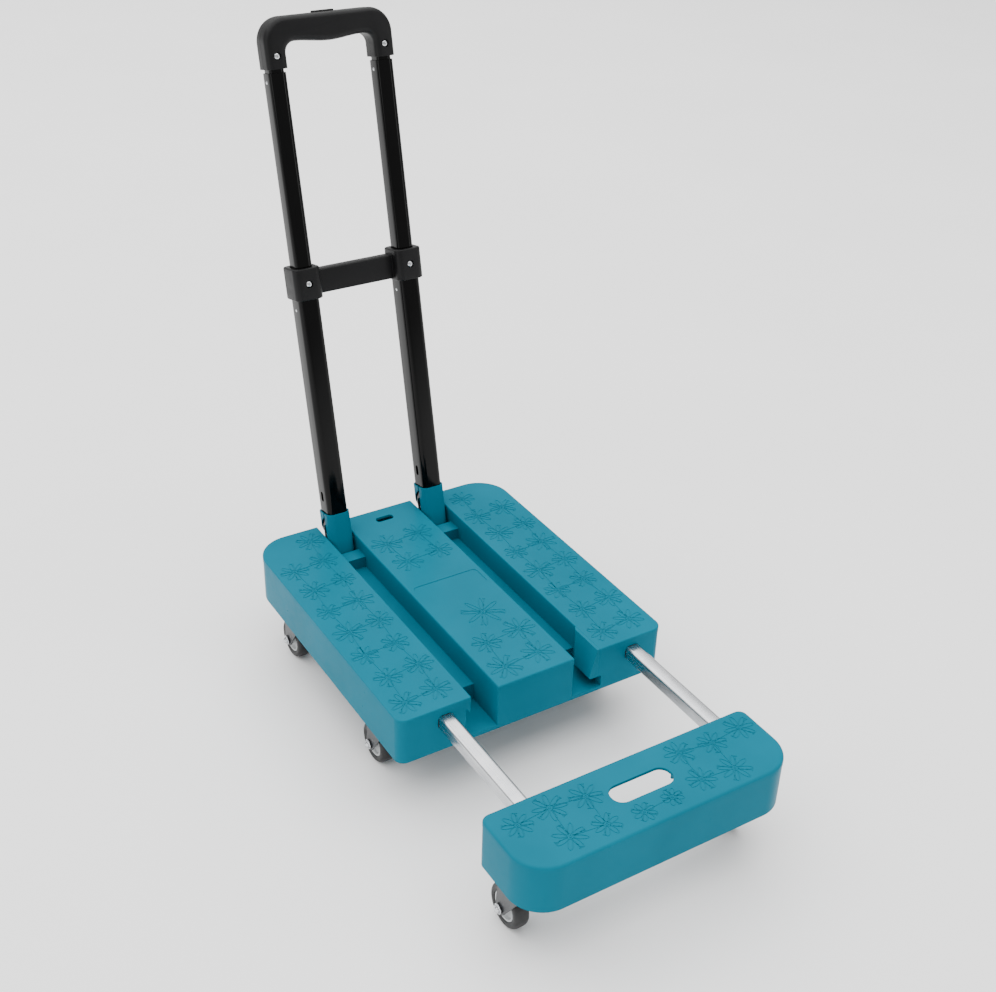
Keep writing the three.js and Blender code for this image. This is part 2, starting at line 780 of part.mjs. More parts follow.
// The grip: a U in X and Z with rounded edges, hollowed for its mechanism and split at Y = 0.
function buildGrip() {
  const outer = poleX + gripLeg / 2 - gripEdge;
  const inner = poleX - gripLeg / 2 + gripEdge;
  const top = gripTo - gripEdge;
  const under = gripTo - gripBar + gripEdge;
  const corner = gripCorner - gripEdge;
  const shape = new THREE.Shape()
    .moveTo(-outer, gripFrom)
    .lineTo(-inner, gripFrom)
    .lineTo(-inner, under - gripInnerCorner)
    .absarc(
      -inner + gripInnerCorner,
      under - gripInnerCorner,
      gripInnerCorner,
      Math.PI,
      Math.PI / 2,
      true,
    )
    .quadraticCurveTo(0, under - 2 * fingerBulge, inner - gripInnerCorner, under)
    .absarc(inner - gripInnerCorner, under - gripInnerCorner, gripInnerCorner, Math.PI / 2, 0, true)
    .lineTo(inner, gripFrom)
    .lineTo(outer, gripFrom)
    .lineTo(outer, top - corner)
    .absarc(outer - corner, top - corner, corner, 0, Math.PI / 2, false)
    .lineTo(-outer + corner, top)
    .absarc(-outer + corner, top - corner, corner, Math.PI / 2, Math.PI, false);
  const body = new THREE.ExtrudeGeometry(shape, {
    depth: gripDepth - 2 * gripEdge,
    bevelSize: gripEdge,
    bevelThickness: gripEdge,
    bevelSegments: 3,
    curveSegments: 6,
  })
    .translate(0, 0, -(gripDepth - 2 * gripEdge) / 2)
    .rotateX(Math.PI / 2);

  const reach = poleX + gripLeg;
  const between = (y0, y1, z0, z1) => block(-reach, reach, y0, y1, z0, z1);
  const trimmed = cut(solid(body), between(-gripDepth, gripDepth, gripFrom - gripLeg, gripFrom));

  const halfRoom = releaseBarSize[0] / 2 + releaseRoom;
  let grip = cut(
    trimmed,
    block(
      -halfRoom,
      halfRoom,
      -releaseBarSize[1] / 2 - 1,
      releaseBarSize[1] / 2 + 1,
      releaseLevel - releaseTravel - 1,
      releaseLevel + releaseBarSize[2] + 4,
    ),
    block(
      -buttonSize[0] / 2 - gap,
      buttonSize[0] / 2 + gap,
      -buttonSize[1] / 2 - gap,
      buttonSize[1] / 2 + gap,
      releaseLevel,
      gripTo + beyond,
    ),
  );
  const socket = rectangle(
    innerTube.width + 2 * gap,
    innerTube.depth + 2 * gap,
    innerTube.radius + gap,
  );
  for (const side of [-1, 1])
    grip = cut(
      grip,
      prism(socket, gripFrom - beyond, innerTube.to + 1).translate(side * poleX, 0, 0),
      post(releaseRodRadius + 1, innerTube.to, releaseLevel, 12).translate(side * poleX, 0, 0),
      ...screwSeat(-gripDepth / 2).map((hole) =>
        hole.translate(side * poleX, 0, gripFrom + gripScrewAt),
      ),
    );
  return [
    ["grip_front_shell", cut(grip, between(-gap / 2, gripDepth, gripFrom - 1, gripTo + 1))],
    ["grip_rear_shell", cut(grip, between(-gripDepth, gap / 2, gripFrom - 1, gripTo + 1))],
  ];
}

for (const [name, shell] of buildGrip()) place(handle, name, shell, blackPlastic);

const bar = block(
  -releaseBarSize[0] / 2,
  releaseBarSize[0] / 2,
  -releaseBarSize[1] / 2,
  releaseBarSize[1] / 2,
  releaseLevel,
  releaseLevel + releaseBarSize[2],
);
place(handle, "release_bar", bar, darkSteel);

const buttonLow = releaseLevel + releaseBarSize[2] + gap;
const buttonHigh = gripTo + buttonProud;
const button = loft([
  { z: buttonLow, points: rectangle(...buttonSize, 4) },
  { z: buttonHigh - 1, points: rectangle(...buttonSize, 4) },
  { z: buttonHigh, points: rectangle(buttonSize[0] - 2, buttonSize[1] - 2, 3) },
]);
place(handle, "grip_button", button, blackPlastic);

// ---------------------------------------------------------------- casters

const forkInside = wheelWidth / 2 + wheelSideClearance;
const forkOutside = forkInside + forkPlate;
const wheelAxis = [0, trail, wheelRadius];

// Two cheeks that taper to an eye at the axle, a crown plate over them and a web at the front.
function buildFork() {
  const eye = Array.from({ length: 7 }, (_, step) => {
    const angle = -Math.PI + 0.25 + (step / 6) * (Math.PI - 0.2);
    return [
      trail + forkEyeRadius * Math.cos(angle),
      wheelRadius + forkEyeRadius * Math.sin(angle),
    ];
  });
  const cheek = [
    [forkFront, crownTop - forkWebHeight],
    ...eye,
    [forkRear + 2, crownTop - forkWebHeight],
    [forkRear, crownTop],
    [forkFront, crownTop],
  ];
  const crown = block(
    -forkOutside,
    forkOutside,
    forkFront,
    forkRear,
    crownTop - crownThickness,
    crownTop,
  );
  const web = block(
    -forkOutside,
    forkOutside,
    forkFront,
    forkFront + forkPlate,
    crownTop - forkWebHeight,
    crownTop,
  );
  const body = joined(
    prismX(cheek, -forkOutside, -forkInside),
    crown,
    prismX(cheek, forkInside, forkOutside),
    web,
    axle(axleRadius + forkSpacerWall, -forkOutside - forkSpacer, -forkInside, 12).translate(
      ...wheelAxis,
    ),
  );
  return cut(
    body,
    axle(axleRadius + gap, -2 * forkOutside, 2 * forkOutside, 12).translate(...wheelAxis),
    post(stemRadius + casterClearance, crownTop - 2 * crownThickness, crownTop + 1, 12),
  );
}

// A screwed plate under the pad, the ball race, and the stem whose riveted end holds the fork.
function buildCasterPlate() {
  const raceBottom = crownTop + casterClearance;
  const rivetTop = crownTop - crownThickness - casterClearance;
  return joined(
    prism(
      rectangle(casterPlate, casterPlate, 4, 1),
      casterPlateTop - casterPlateThickness,
      casterPlateTop,
    ),
    post(raceRadius, raceBottom, casterPlateTop - 1, 20),
    post(stemRadius, rivetTop - 1, raceBottom + 1, 12),
    post(rivetRadius, rivetTop - rivetHeight, rivetTop, 12),
  );
}

// Flanged dome nut at -X, round head at +X.
function buildAxleBolt() {
  const nut = -(forkOutside + forkSpacer + gap);
  const head = forkOutside + gap;
  return new THREE.LatheGeometry(
    vectors([
      [0, nut - nutHeight],
      [nutRadius - 1.2, nut - nutHeight + 1],
      [nutRadius, nut - 1.2],
      [nutFlange, nut - 0.9],
      [nutFlange, nut],
      [axleRadius, nut],
      [axleRadius, head],
      [boltHeadRadius, head],
      [boltHeadRadius - 0.9, head + boltHeadHeight - 1.1],
      [0, head + boltHeadHeight],
    ]),
    12,
  ).rotateZ(-Math.PI / 2);
}

function buildHub() {
  const boss = forkInside - gap;
  const web = hubWeb / 2;
  const rimEdge = wheelWidth / 2 - rimInset;
  const boreRadius = axleRadius + gap;
  return turned(
    [
      [boreRadius, -boss],
      [hubBoss, -boss],
      [hubBoss, -web],
      [rimRadius - rimThickness, -web],
      [rimRadius - rimThickness + 1, -rimEdge],
      [rimRadius, -rimEdge],
      [rimRadius, rimEdge],
      [rimRadius - rimThickness + 1, rimEdge],
      [rimRadius - rimThickness, web],
      [hubBoss, web],
      [hubBoss, boss],
      [boreRadius, boss],
      [boreRadius, -boss],
    ],
    16,
  );
}

function buildTyre() {
  const seat = rimRadius + gap;
  const half = wheelWidth / 2;
  return turned(
    [
      [seat, -half + 1],
      [wheelRadius - 4, -half],
      [wheelRadius - 1.2, -half + 1.8],
      [wheelRadius, -half + 4.5],
      [wheelRadius, half - 4.5],
      [wheelRadius - 1.2, half - 1.8],
      [wheelRadius - 4, half],
      [seat, half - 1],
      [seat, -half + 1],
    ],
    24,
  );
}

const casters = {
  unit_left: [unitCasterX[0], unitCasterY],
  unit_right: [unitCasterX[1], unitCasterY],
  front_left: [-deckCasterX, casterFrontY],
  front_right: [deckCasterX, casterFrontY],
  rear_left: [-deckCasterX, casterRearY],
  rear_right: [deckCasterX, casterRearY],
};

const fork = geometryOf(buildFork());
const casterPlateShape = geometryOf(buildCasterPlate());
const axleBolt = buildAxleBolt();
const hub = buildHub();
const tyre = buildTyre();

for (const [corner, [x, y]] of Object.entries(casters)) {
  const caster = new THREE.Group();
  caster.position.set(x, y, 0);
  cart.add(caster);
  place(caster, "caster_plate_" + corner, casterPlateShape, darkSteel);
  place(caster, "caster_fork_" + corner, fork, darkSteel);
  place(caster, "axle_bolt_" + corner, axleBolt, chrome).position.set(...wheelAxis);
  place(caster, "wheel_hub_" + corner, hub, greyPlastic).position.set(...wheelAxis);
  place(caster, "wheel_tyre_" + corner, tyre, tyreRubber).position.set(...wheelAxis);
}

// ---------------------------------------------------------------- origin

// The middle of the cart's footprint, on the floor.
const bounds = new THREE.Box3().setFromObject(cart);
cart.position.y = -(bounds.min.y + bounds.max.y) / 2;

export default cart;
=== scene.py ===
# %% [markdown]
# # A folding platform cart
#
# The cart is a moulded teal deck on swivel casters, a smaller front unit that draws out on two
# chromed slide tubes, and a black telescoping handle that folds forward over the deck. Its working
# model is already packed: bodies, joints and plain solids. This lesson gives each visible solid a
# finely made piece that rides on the same body, and gives everything a finish.

# %% Load the working model
import json
import math
import bmesh
import bpy
from mathutils import Matrix, Vector


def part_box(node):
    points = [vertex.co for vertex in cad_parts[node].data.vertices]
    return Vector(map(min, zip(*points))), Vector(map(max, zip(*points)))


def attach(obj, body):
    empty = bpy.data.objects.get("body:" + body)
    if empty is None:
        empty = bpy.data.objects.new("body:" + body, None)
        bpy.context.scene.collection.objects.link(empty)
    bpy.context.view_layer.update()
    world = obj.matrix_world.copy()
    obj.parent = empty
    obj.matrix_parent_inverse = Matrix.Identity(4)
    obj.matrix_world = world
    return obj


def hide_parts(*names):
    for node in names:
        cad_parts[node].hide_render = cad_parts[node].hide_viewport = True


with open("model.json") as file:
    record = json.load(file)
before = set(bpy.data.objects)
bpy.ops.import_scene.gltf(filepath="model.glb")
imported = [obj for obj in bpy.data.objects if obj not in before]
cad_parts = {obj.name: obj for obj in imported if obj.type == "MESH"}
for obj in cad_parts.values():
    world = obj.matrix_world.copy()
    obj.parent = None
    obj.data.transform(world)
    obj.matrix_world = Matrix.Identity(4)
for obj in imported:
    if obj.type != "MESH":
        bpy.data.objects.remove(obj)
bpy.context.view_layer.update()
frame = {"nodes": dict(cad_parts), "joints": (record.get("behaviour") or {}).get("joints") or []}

MM = 0.001
joints = {joint["name"]: joint for joint in frame["joints"]}

# %% [markdown]
# ## Helpers for shape
#
# A bmesh is an editable mesh in memory. Nearly everything here starts as a brick, a rod or a turned
# profile, has its edges rounded with the bevel operator, and is joined to or cut by others with the
# Boolean modifier. The helpers take millimetres and turn them into metres, which the mesh holds.

# %% Bricks, rods and turned shapes
def brick(low, high):
    """A box between two corners."""
    bm = bmesh.new()
    bmesh.ops.create_cube(bm, size=1)
    low, high = Vector(low) * MM, Vector(high) * MM
    bmesh.ops.scale(bm, vec=high - low, verts=bm.verts)
    bmesh.ops.translate(bm, vec=(low + high) / 2, verts=bm.verts)
    return bm


def round_edges(bm, radius, segments, chosen):
    """Bevels the edges that chosen(middle, direction) picks."""
    edges = []
    for edge in bm.edges:
        a, b = (vert.co for vert in edge.verts)
        if chosen((a + b) / 2 / MM, (b - a).normalized()):
            edges.append(edge)
    bmesh.ops.bevel(
        bm, geom=edges, offset=radius * MM, offset_type="OFFSET", segments=segments,
        profile=0.5, affect="EDGES", material=-1, clamp_overlap=True,
    )
    return bm


def rod(radius, start, end, segments=32, tip=None):
    """A cylinder from one point to another; tip is the radius at its end."""
    bm = bmesh.new()
    start, end = Vector(start) * MM, Vector(end) * MM
    bmesh.ops.create_cone(
        bm, cap_ends=True, segments=segments, radius1=radius * MM,
        radius2=(radius if tip is None else tip) * MM, depth=(end - start).length,
    )
    turn = Vector((0, 0, 1)).rotation_difference(end - start).to_matrix().to_4x4()
    bmesh.ops.transform(bm, matrix=Matrix.Translation((start + end) / 2) @ turn, verts=bm.verts)
    return bm


def turned(profile, steps=64):
    """A closed profile of (radius, station) pairs, spun round the X axis."""
    bm = bmesh.new()
    verts = [bm.verts.new((station * MM, 0, radius * MM)) for radius, station in profile]
    edges = [bm.edges.new((a, b)) for a, b in zip(verts, verts[1:])]
    if profile[0][0] > 0:
        edges.append(bm.edges.new((verts[-1], verts[0])))
    bmesh.ops.spin(
        bm, geom=verts + edges, cent=(0, 0, 0), axis=(1, 0, 0), angle=2 * math.pi,
        steps=steps, use_merge=True,
    )
    bmesh.ops.remove_doubles(bm, verts=bm.verts, dist=1e-6)
    bmesh.ops.recalc_face_normals(bm, faces=bm.faces)
    return bm


def only_verts(items):
    return [item for item in items if isinstance(item, bmesh.types.BMVert)]


def plate(outline, axis, start, end):
    """An outline of (u, v) pairs, extruded along one axis between two stations."""
    place = {
        "X": lambda u, v: (start, u, v),
        "Y": lambda u, v: (u, start, v),
        "Z": lambda u, v: (u, v, start),
    }
    bm = bmesh.new()
    face = bm.faces.new([bm.verts.new(Vector(place[axis](u, v)) * MM) for u, v in outline])
    raised = bmesh.ops.extrude_face_region(bm, geom=[face], use_keep_orig=True)["geom"]
    step = Vector((axis == "X", axis == "Y", axis == "Z")) * (end - start) * MM
    bmesh.ops.translate(bm, vec=step, verts=only_verts(raised))
    bmesh.ops.recalc_face_normals(bm, faces=bm.faces)
    return bm


def along(axis):
    """Picks the edges that run along one axis."""
    return lambda middle, direction: abs(direction["XYZ".index(axis)]) > 0.99


def level(*heights):
    """Picks the edges whose middle is at one of the heights."""
    return lambda middle, direction: min(abs(middle.z - height) for height in heights) < 1e-3


print("shape helpers ready")

# %% [markdown]
# ## Joining and cutting
#
# A Boolean modifier needs two objects. The helper makes both for a moment, reads the result back
# into a bmesh, and removes them, so the scene only ever holds finished pieces.

# %% Boolean helper
def short_lived(bm, name="workpiece"):
    mesh = bpy.data.meshes.new(name)
    bm.to_mesh(mesh)
    obj = bpy.data.objects.new(name, mesh)
    bpy.context.scene.collection.objects.link(obj)
    return obj


def combine(bm, tools, operation):
    work = short_lived(bm)
    helpers = [short_lived(tool, "tool") for tool in tools]
    for helper in helpers:
        step = work.modifiers.new("combine", "BOOLEAN")
        step.operation = operation
        step.solver = "EXACT"
        step.object = helper
    bpy.context.view_layer.update()
    evaluated = work.evaluated_get(bpy.context.evaluated_depsgraph_get())
    result = bmesh.new()
    result.from_mesh(evaluated.to_mesh())
    for obj in [work] + helpers:
        mesh = obj.data
        bpy.data.objects.remove(obj)
        bpy.data.meshes.remove(mesh)
    bmesh.ops.remove_doubles(result, verts=result.verts, dist=2e-6)
    bmesh.ops.dissolve_degenerate(result, edges=result.edges, dist=2e-6)
    return result


def cut(bm, *tools):
    return combine(bm, tools, "DIFFERENCE")


def join(bm, *tools):
    return combine(bm, tools, "UNION")


# %% [markdown]
# ## Finishing a piece
#
# Real mouldings and pressings have no knife edges. A Bevel modifier puts a small radius on every
# edge that turns by more than the given angle, and the custom sharpness keeps flat faces flat. The
# same helper puts the piece on its body and hides the plain solids it stands for.

# %% Piece helper
made = {}


def finish_piece(bm, name, body, slot, material, replaces=(), edge=0.5, angle=32, segments=2):
    mesh = bpy.data.meshes.new(name)
    bm.to_mesh(mesh)
    bm.free()
    mesh.materials.append(material)
    mesh.shade_smooth()
    mesh.set_sharp_from_angle(angle=math.radians(angle))
    obj = bpy.data.objects.new(name, mesh)
    bpy.context.scene.collection.objects.link(obj)
    if edge:
        soften = obj.modifiers.new("edge radius", "BEVEL")
        soften.width = edge * MM
        soften.segments = segments
        soften.limit_method = "ANGLE"
        soften.angle_limit = math.radians(angle)
        soften.miter_outer = "MITER_ARC"
        soften.harden_normals = True
    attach(obj, body)
    if replaces:
        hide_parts(*replaces)
    made[name] = obj
    return obj


# %% [markdown]
# ## Helpers for materials
#
# Each finish is a small network of nodes on the Principled shader. Patterns read Object
# coordinates, which are metres here, so a noise scale of 1 / 0.0005 draws grains half a
# millimetre across.

# %% Node helper and colour
def linear(code):
    """An sRGB hex colour as linear RGBA."""
    channels = [int(code[i:i + 2], 16) / 255 for i in (0, 2, 4)]
    return [c / 12.92 if c <= 0.04045 else ((c + 0.055) / 1.055) ** 2.4 for c in channels] + [1.0]


def add(tree, kind, links=None, feeds=None, ramp=(), **settings):
    """Adds a node and returns it.

    settings name its properties or, as in_NAME, its inputs. links feed its inputs. feeds names the
    sockets that its first output goes to. ramp is (position, hex colour) pairs for a colour ramp.
    """
    node = tree.nodes.new(kind)
    for name, value in settings.items():
        if name.startswith("in_"):
            node.inputs[name[3:].replace("_", " ")].default_value = value
        else:
            setattr(node, name, value)
    for element, (position, code) in zip(node.color_ramp.elements if ramp else (), ramp):
        element.position, element.color = position, linear(code)
    for socket, source in (links or {}).items():
        tree.links.new(source, node.inputs[socket])
    for socket in feeds or ():
        tree.links.new(node.outputs[0], socket)
    return node


def grains(size_mm):
    return 1 / (size_mm * MM)


def new_finish(name, metallic=0.0, roughness=0.5, **settings):
    material = bpy.data.materials.new(name)
    material.use_nodes = True
    tree = material.node_tree
    tree.nodes.clear()
    output = tree.nodes.new("ShaderNodeOutputMaterial")
    shader = add(tree, "ShaderNodeBsdfPrincipled", in_Metallic=metallic, in_Roughness=roughness)
    for socket, value in settings.items():
        shader.inputs[socket.replace("_", " ")].default_value = value
    tree.links.new(shader.outputs["BSDF"], output.inputs["Surface"])
    place = add(tree, "ShaderNodeTexCoord").outputs["Object"]
    return material, tree, shader, place


# %% [markdown]
# ## Plastics
#
# The deck, front unit and foot sleeves are injection-moulded polypropylene, coloured right through.
# The mould's fine spark-eroded texture breaks up the highlight, the colour drifts a little where the
# melt flowed, and handling leaves faint scuffs. The handle parts are black ABS with a similar grain.
# The real grain is about 0.1 mm; it is drawn at 0.6 mm so that it still shows.

# %% Teal polypropylene
def moulded_plastic(name, body, drift, grain_mm, depth_mm, roughness, scuff, gloss):
    material, tree, shader, place = new_finish(
        name, roughness=roughness, IOR=1.49, Specular_IOR_Level=gloss,
    )
    flow = add(tree, "ShaderNodeTexNoise", {"Vector": place}, in_Scale=grains(90), in_Detail=3.0)
    add(
        tree, "ShaderNodeValToRGB", {"Fac": flow.outputs["Fac"]}, [shader.inputs["Base Color"]],
        ramp=((0.3, body), (0.7, drift)),
    )
    rub = add(
        tree, "ShaderNodeTexNoise", {"Vector": place}, in_Scale=grains(14), in_Detail=6.0, in_Roughness=0.7,
    )
    add(
        tree, "ShaderNodeMapRange", {"Value": rub.outputs["Fac"]}, [shader.inputs["Roughness"]],
        in_From_Min=0.3, in_From_Max=0.7, in_To_Min=roughness - scuff, in_To_Max=roughness + scuff,
    )
    # Slow waviness, as a large moulded face cools a little out of flat, under the fine grain.
    wave = add(tree, "ShaderNodeTexNoise", {"Vector": place}, in_Scale=grains(60), in_Detail=1.0)
    slow = add(
        tree, "ShaderNodeBump", {"Height": wave.outputs["Fac"]}, in_Strength=0.5, in_Distance=0.25 * MM,
    )
    grain = add(tree, "ShaderNodeTexNoise", {"Vector": place}, in_Scale=grains(grain_mm), in_Detail=2.0)
    add(
        tree, "ShaderNodeBump", {"Height": grain.outputs["Fac"], "Normal": slow.outputs["Normal"]},
        [shader.inputs["Normal"]], in_Strength=0.6, in_Distance=depth_mm * MM,
    )
    return material


teal_polypropylene = moulded_plastic("teal_polypropylene", "006276", "00687d", 0.6, 0.004, 0.32, 0.05, 0.03)
black_abs = moulded_plastic("black_abs", "0a0a0b", "0e0e0f", 0.7, 0.02, 0.42, 0.06, 0.18)
white_nylon = moulded_plastic("white_nylon", "aeb1b2", "babcbd", 0.5, 0.006, 0.36, 0.05, 0.4)
print("plastics:", teal_polypropylene.name, black_abs.name, white_nylon.name)

# %% [markdown]
# ## Metals
#
# The poles are steel tube in black stoving enamel: a glossy film with faint long ripples left by the
# drawing of the tube. The slide tubes and fasteners are bright chrome plate, which mirrors its
# surroundings and shows hairline marks along the length from sliding. Hidden pressings are zinc
# plated, and the caster forks have a dark satin coat. The same dark coat on the pole feet is painted
# shade: it darkens the slits of the sleeves, where the feet show.

# %% Enamel, chrome, zinc, and fork paint that is painted shade on the pole feet
def drawn_metal(name, metallic, first, second, rough_low, rough_high, along, depth_mm, **settings):
    """Streaks are stretched along one axis: along is the pattern's scale in mm on X, Y and Z."""
    material, tree, shader, place = new_finish(name, metallic=metallic, **settings)
    stretch = add(tree, "ShaderNodeMapping", {"Vector": place}, in_Scale=[grains(size) for size in along])
    streak = add(
        tree, "ShaderNodeTexNoise", {"Vector": stretch.outputs["Vector"]}, in_Scale=1.0, in_Detail=4.0,
    )
    cloud = add(tree, "ShaderNodeTexNoise", {"Vector": place}, in_Scale=grains(25), in_Detail=5.0)
    add(
        tree, "ShaderNodeValToRGB", {"Fac": cloud.outputs["Fac"]}, [shader.inputs["Base Color"]],
        ramp=((0.3, first), (0.7, second)),
    )
    add(
        tree, "ShaderNodeMapRange", {"Value": streak.outputs["Fac"]}, [shader.inputs["Roughness"]],
        in_From_Min=0.3, in_From_Max=0.7, in_To_Min=rough_low, in_To_Max=rough_high,
    )
    add(
        tree, "ShaderNodeBump", {"Height": streak.outputs["Fac"]}, [shader.inputs["Normal"]],
        in_Strength=0.5, in_Distance=depth_mm * MM,
    )
    return material


black_enamel = drawn_metal(
    "black_enamel", 0.0, "010101", "020202", 0.05, 0.1, (2.5, 2.5, 60), 0.004,
    Specular_IOR_Level=0.14,
)
chrome_plate = drawn_metal("chrome_plate", 1.0, "bcbec1", "cccdd0", 0.2, 0.3, (1.2, 80, 1.2), 0.003)
bright_fastener = drawn_metal(
    "bright_fastener", 1.0, "bfc1c4", "d0d2d4", 0.12, 0.22, (1.5, 1.5, 1.5), 0.004,
)
zinc_plate = drawn_metal("zinc_plate", 1.0, "8f9294", "a6a8a8", 0.28, 0.42, (3, 3, 3), 0.006)
# Dark satin coat for the forks; on the pole feet it is painted shade that darkens the sleeve slits.
fork_paint_and_slit_shade = drawn_metal("fork_paint_and_slit_shade", 0.0, "1c1d20", "25272a", 0.3, 0.42, (1.5, 1.5, 1.5), 0.01)

# %% [markdown]
# ## Rubber
#
# The tyre is a soft black thermoplastic rubber. It is matt, slightly dusty on its running face, and
# has a fine grain all over.

# %% Tyre rubber
tyre_rubber, tree, shader, place = new_finish("tyre_rubber", roughness=0.55, IOR=1.5)
dust = add(
    tree, "ShaderNodeTexNoise", {"Vector": place}, in_Scale=grains(7), in_Detail=6.0, in_Roughness=0.65,
)
add(
    tree, "ShaderNodeValToRGB", {"Fac": dust.outputs["Fac"]}, [shader.inputs["Base Color"]],
    ramp=((0.35, "0c0c0d"), (0.75, "161617")),
)
add(
    tree, "ShaderNodeMapRange", {"Value": dust.outputs["Fac"]}, [shader.inputs["Roughness"]],
    in_From_Min=0.3, in_From_Max=0.7, in_To_Min=0.42, in_To_Max=0.62,
)
pores = add(tree, "ShaderNodeTexNoise", {"Vector": place}, in_Scale=grains(0.8), in_Detail=2.0)
add(
    tree, "ShaderNodeBump", {"Height": pores.outputs["Fac"]}, [shader.inputs["Normal"]],
    in_Strength=0.6, in_Distance=0.03 * MM,
)
print("materials:", len(bpy.data.materials))

# %% [markdown]
# ## The platforms
#
# The deck is three long blocks with a channel on each side of the middle one, where the poles lie
# when the handle is folded. Building each block as its own rounded, hollow box and then joining them
# gives every block the soft top edge that a moulding has. The sizes that are not a corner of the
# whole platform are the working model's own.

# %% Sizes shared by the platforms
platform_low, platform_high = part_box("deck")
bottom, top = platform_low.z / MM, platform_high.z / MM
front, rear = platform_low.y / MM, platform_high.y / MM
side = platform_high.x / MM
skin = 3
top_edge = 3.5
cap_depth, ledge = 8, 0.3
pole_x = (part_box("lower_tube_right")[0].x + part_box("lower_tube_right")[1].x) / 2 / MM
channel = 34.4
inner_wall, outer_wall = pole_x - channel / 2, pole_x + channel / 2
channel_floor, pocket_floor = bottom + 27, bottom + 5
pocket_length = 53
step_front, step_rear, step_top = front + 322, front + 341.5, bottom + 42.5
tube_x = [sum(corner.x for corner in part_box("slide_tube_" + hand)) / 2 / MM for hand in ("left", "right")]
tube_z = sum(corner.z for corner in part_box("slide_tube_left")) / 2 / MM
print("deck", side * 2, "x", rear - front, "mm, top at", top, "pole at", pole_x)

# %% Hollow blocks and slide passages
def block(x0, x1, y0, y1, z0, z1):
    return brick((x0, y0, z0), (x1, y1, z1))


def round_corners(bm, radii, inset=0):
    """Rounds the upright edges of a brick: radii go front left, front right, rear right, rear left."""
    xs = [vert.co.x / MM for vert in bm.verts]
    ys = [vert.co.y / MM for vert in bm.verts]
    places = [(min(xs), min(ys)), (max(xs), min(ys)), (max(xs), max(ys)), (min(xs), max(ys))]
    for (x, y), radius in zip(places, radii):
        here = max(radius - inset, 0.6)
        round_edges(
            bm, here, 16 if here > 15 else 6,
            lambda m, d: along("Z")(m, d) and abs(m.x - x) < 1e-3 and abs(m.y - y) < 1e-3,
        )
    return bm


def hollow_block(x0, x1, y0, y1, radii):
    """A rounded block with a cap that stands a hair proud of its walls, hollow from below."""
    walls = round_corners(
        block(x0 + ledge, x1 - ledge, y0 + ledge, y1 - ledge, bottom, top - cap_depth + 1), radii, ledge,
    )
    cap = round_corners(block(x0, x1, y0, y1, top - cap_depth, top), radii)
    round_edges(cap, top_edge, 5, level(top))
    room = round_corners(
        block(x0 + skin, x1 - skin, y0 + skin, y1 - skin, bottom - 4, top - skin), radii, skin,
    )
    return cut(join(walls, cap), room)


def passage(x, y0, y1, size):
    bm = block(x - size / 2, x + size / 2, y0, y1, tube_z - size / 2, tube_z + size / 2)
    return round_edges(bm, size * 0.3, 6, along("Y"))


# %% Deck blocks, channels and steps
left_block = hollow_block(-side, -outer_wall, front, rear, (12, 1.5, 1.5, 42))
right_block = hollow_block(outer_wall, side, front, rear, (1.5, 12, 42, 1.5))
middle_block = hollow_block(-inner_wall, inner_wall, front, rear, (2, 2, 2, 2))
floors = []
for sign in (-1, 1):
    xs = sorted((sign * (inner_wall - 1), sign * (outer_wall + 1)))
    floors.append(block(*xs, front + 0.4, front + pocket_length + skin, pocket_floor - skin, pocket_floor))
    floors.append(block(*xs, front + pocket_length, rear - 0.4, channel_floor - skin, channel_floor))
    floors.append(
        block(*xs, front + pocket_length, front + pocket_length + skin, pocket_floor - skin, channel_floor)
    )
    floors.append(block(*xs, step_front, step_rear, channel_floor - 1, step_top))
    floors.append(block(*xs, front + 0.3, front + skin, bottom, pocket_floor))
    floors.append(block(*xs, rear - skin, rear - 0.3, bottom, channel_floor))
deck = join(left_block, middle_block, right_block, *floors)
print("deck after joining:", len(deck.faces), "faces")

# %% [markdown]
# Under the deck, thin ribs stiffen the skin, and a pad in each corner takes a caster plate. They are
# added inside the blocks, with square passages where the slide tubes run.

# %% Ribs and caster pads under the deck
rib, rib_foot, spine_foot = 2.5, 6, 12
rear_rib = 352
pad_half, pad_thickness = 22, 5.2
under = []
for station in (30, 130, 190, 250, rear_rib):
    y = front + station
    inset = 30 if station == rear_rib else 2
    under.append(block(-side + inset, side - inset, y, y + rib, bottom + rib_foot, top - skin + 1))
under.append(block(-rib / 2, rib / 2, front + 2, step_front, bottom + spine_foot, top - skin + 1))
pads = []
for corner in ("front_left", "front_right", "rear_left", "rear_right"):
    low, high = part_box("caster_plate_" + corner)
    middle_x, middle_y = (low.x + high.x) / 2 / MM, (low.y + high.y) / 2 / MM
    edge_x = math.copysign(side - 1, middle_x)
    xs = sorted((middle_x - math.copysign(pad_half, middle_x), edge_x))
    pad_foot = high.z / MM + 0.3
    pads.append(block(*xs, middle_y - pad_half, middle_y + pad_half, pad_foot, pad_foot + pad_thickness))
channels_clear = []
for sign in (-1, 1):
    xs = sorted((sign * (inner_wall - 0.6), sign * (outer_wall + 0.6)))
    channels_clear.append(
        block(*xs, front - 4, front + pocket_length - 0.01, pocket_floor + 0.01, top + 4)
    )
    channels_clear.append(
        block(*xs, front + pocket_length - 1, step_front - 0.01, channel_floor + 0.01, top + 4)
    )
    channels_clear.append(block(*xs, step_front - 1, step_rear, step_top + 0.01, top + 4))
    channels_clear.append(block(*xs, step_rear + 0.01, rear + 4, channel_floor + 0.01, top + 4))
ribs = join(under[0], *under[1:])
ribs = cut(ribs, *channels_clear, *[passage(x, front + 20, rear, 19.8) for x in tube_x])
deck = join(deck, ribs, *pads)
print("deck with ribs:", len(deck.faces), "faces")

# %% [markdown]
# The front end has its small features: round-cornered mouths for the slide tubes, an undercut lip on
# one side block and a hook on the other, a slot near the rear edge and a shallow blank panel.

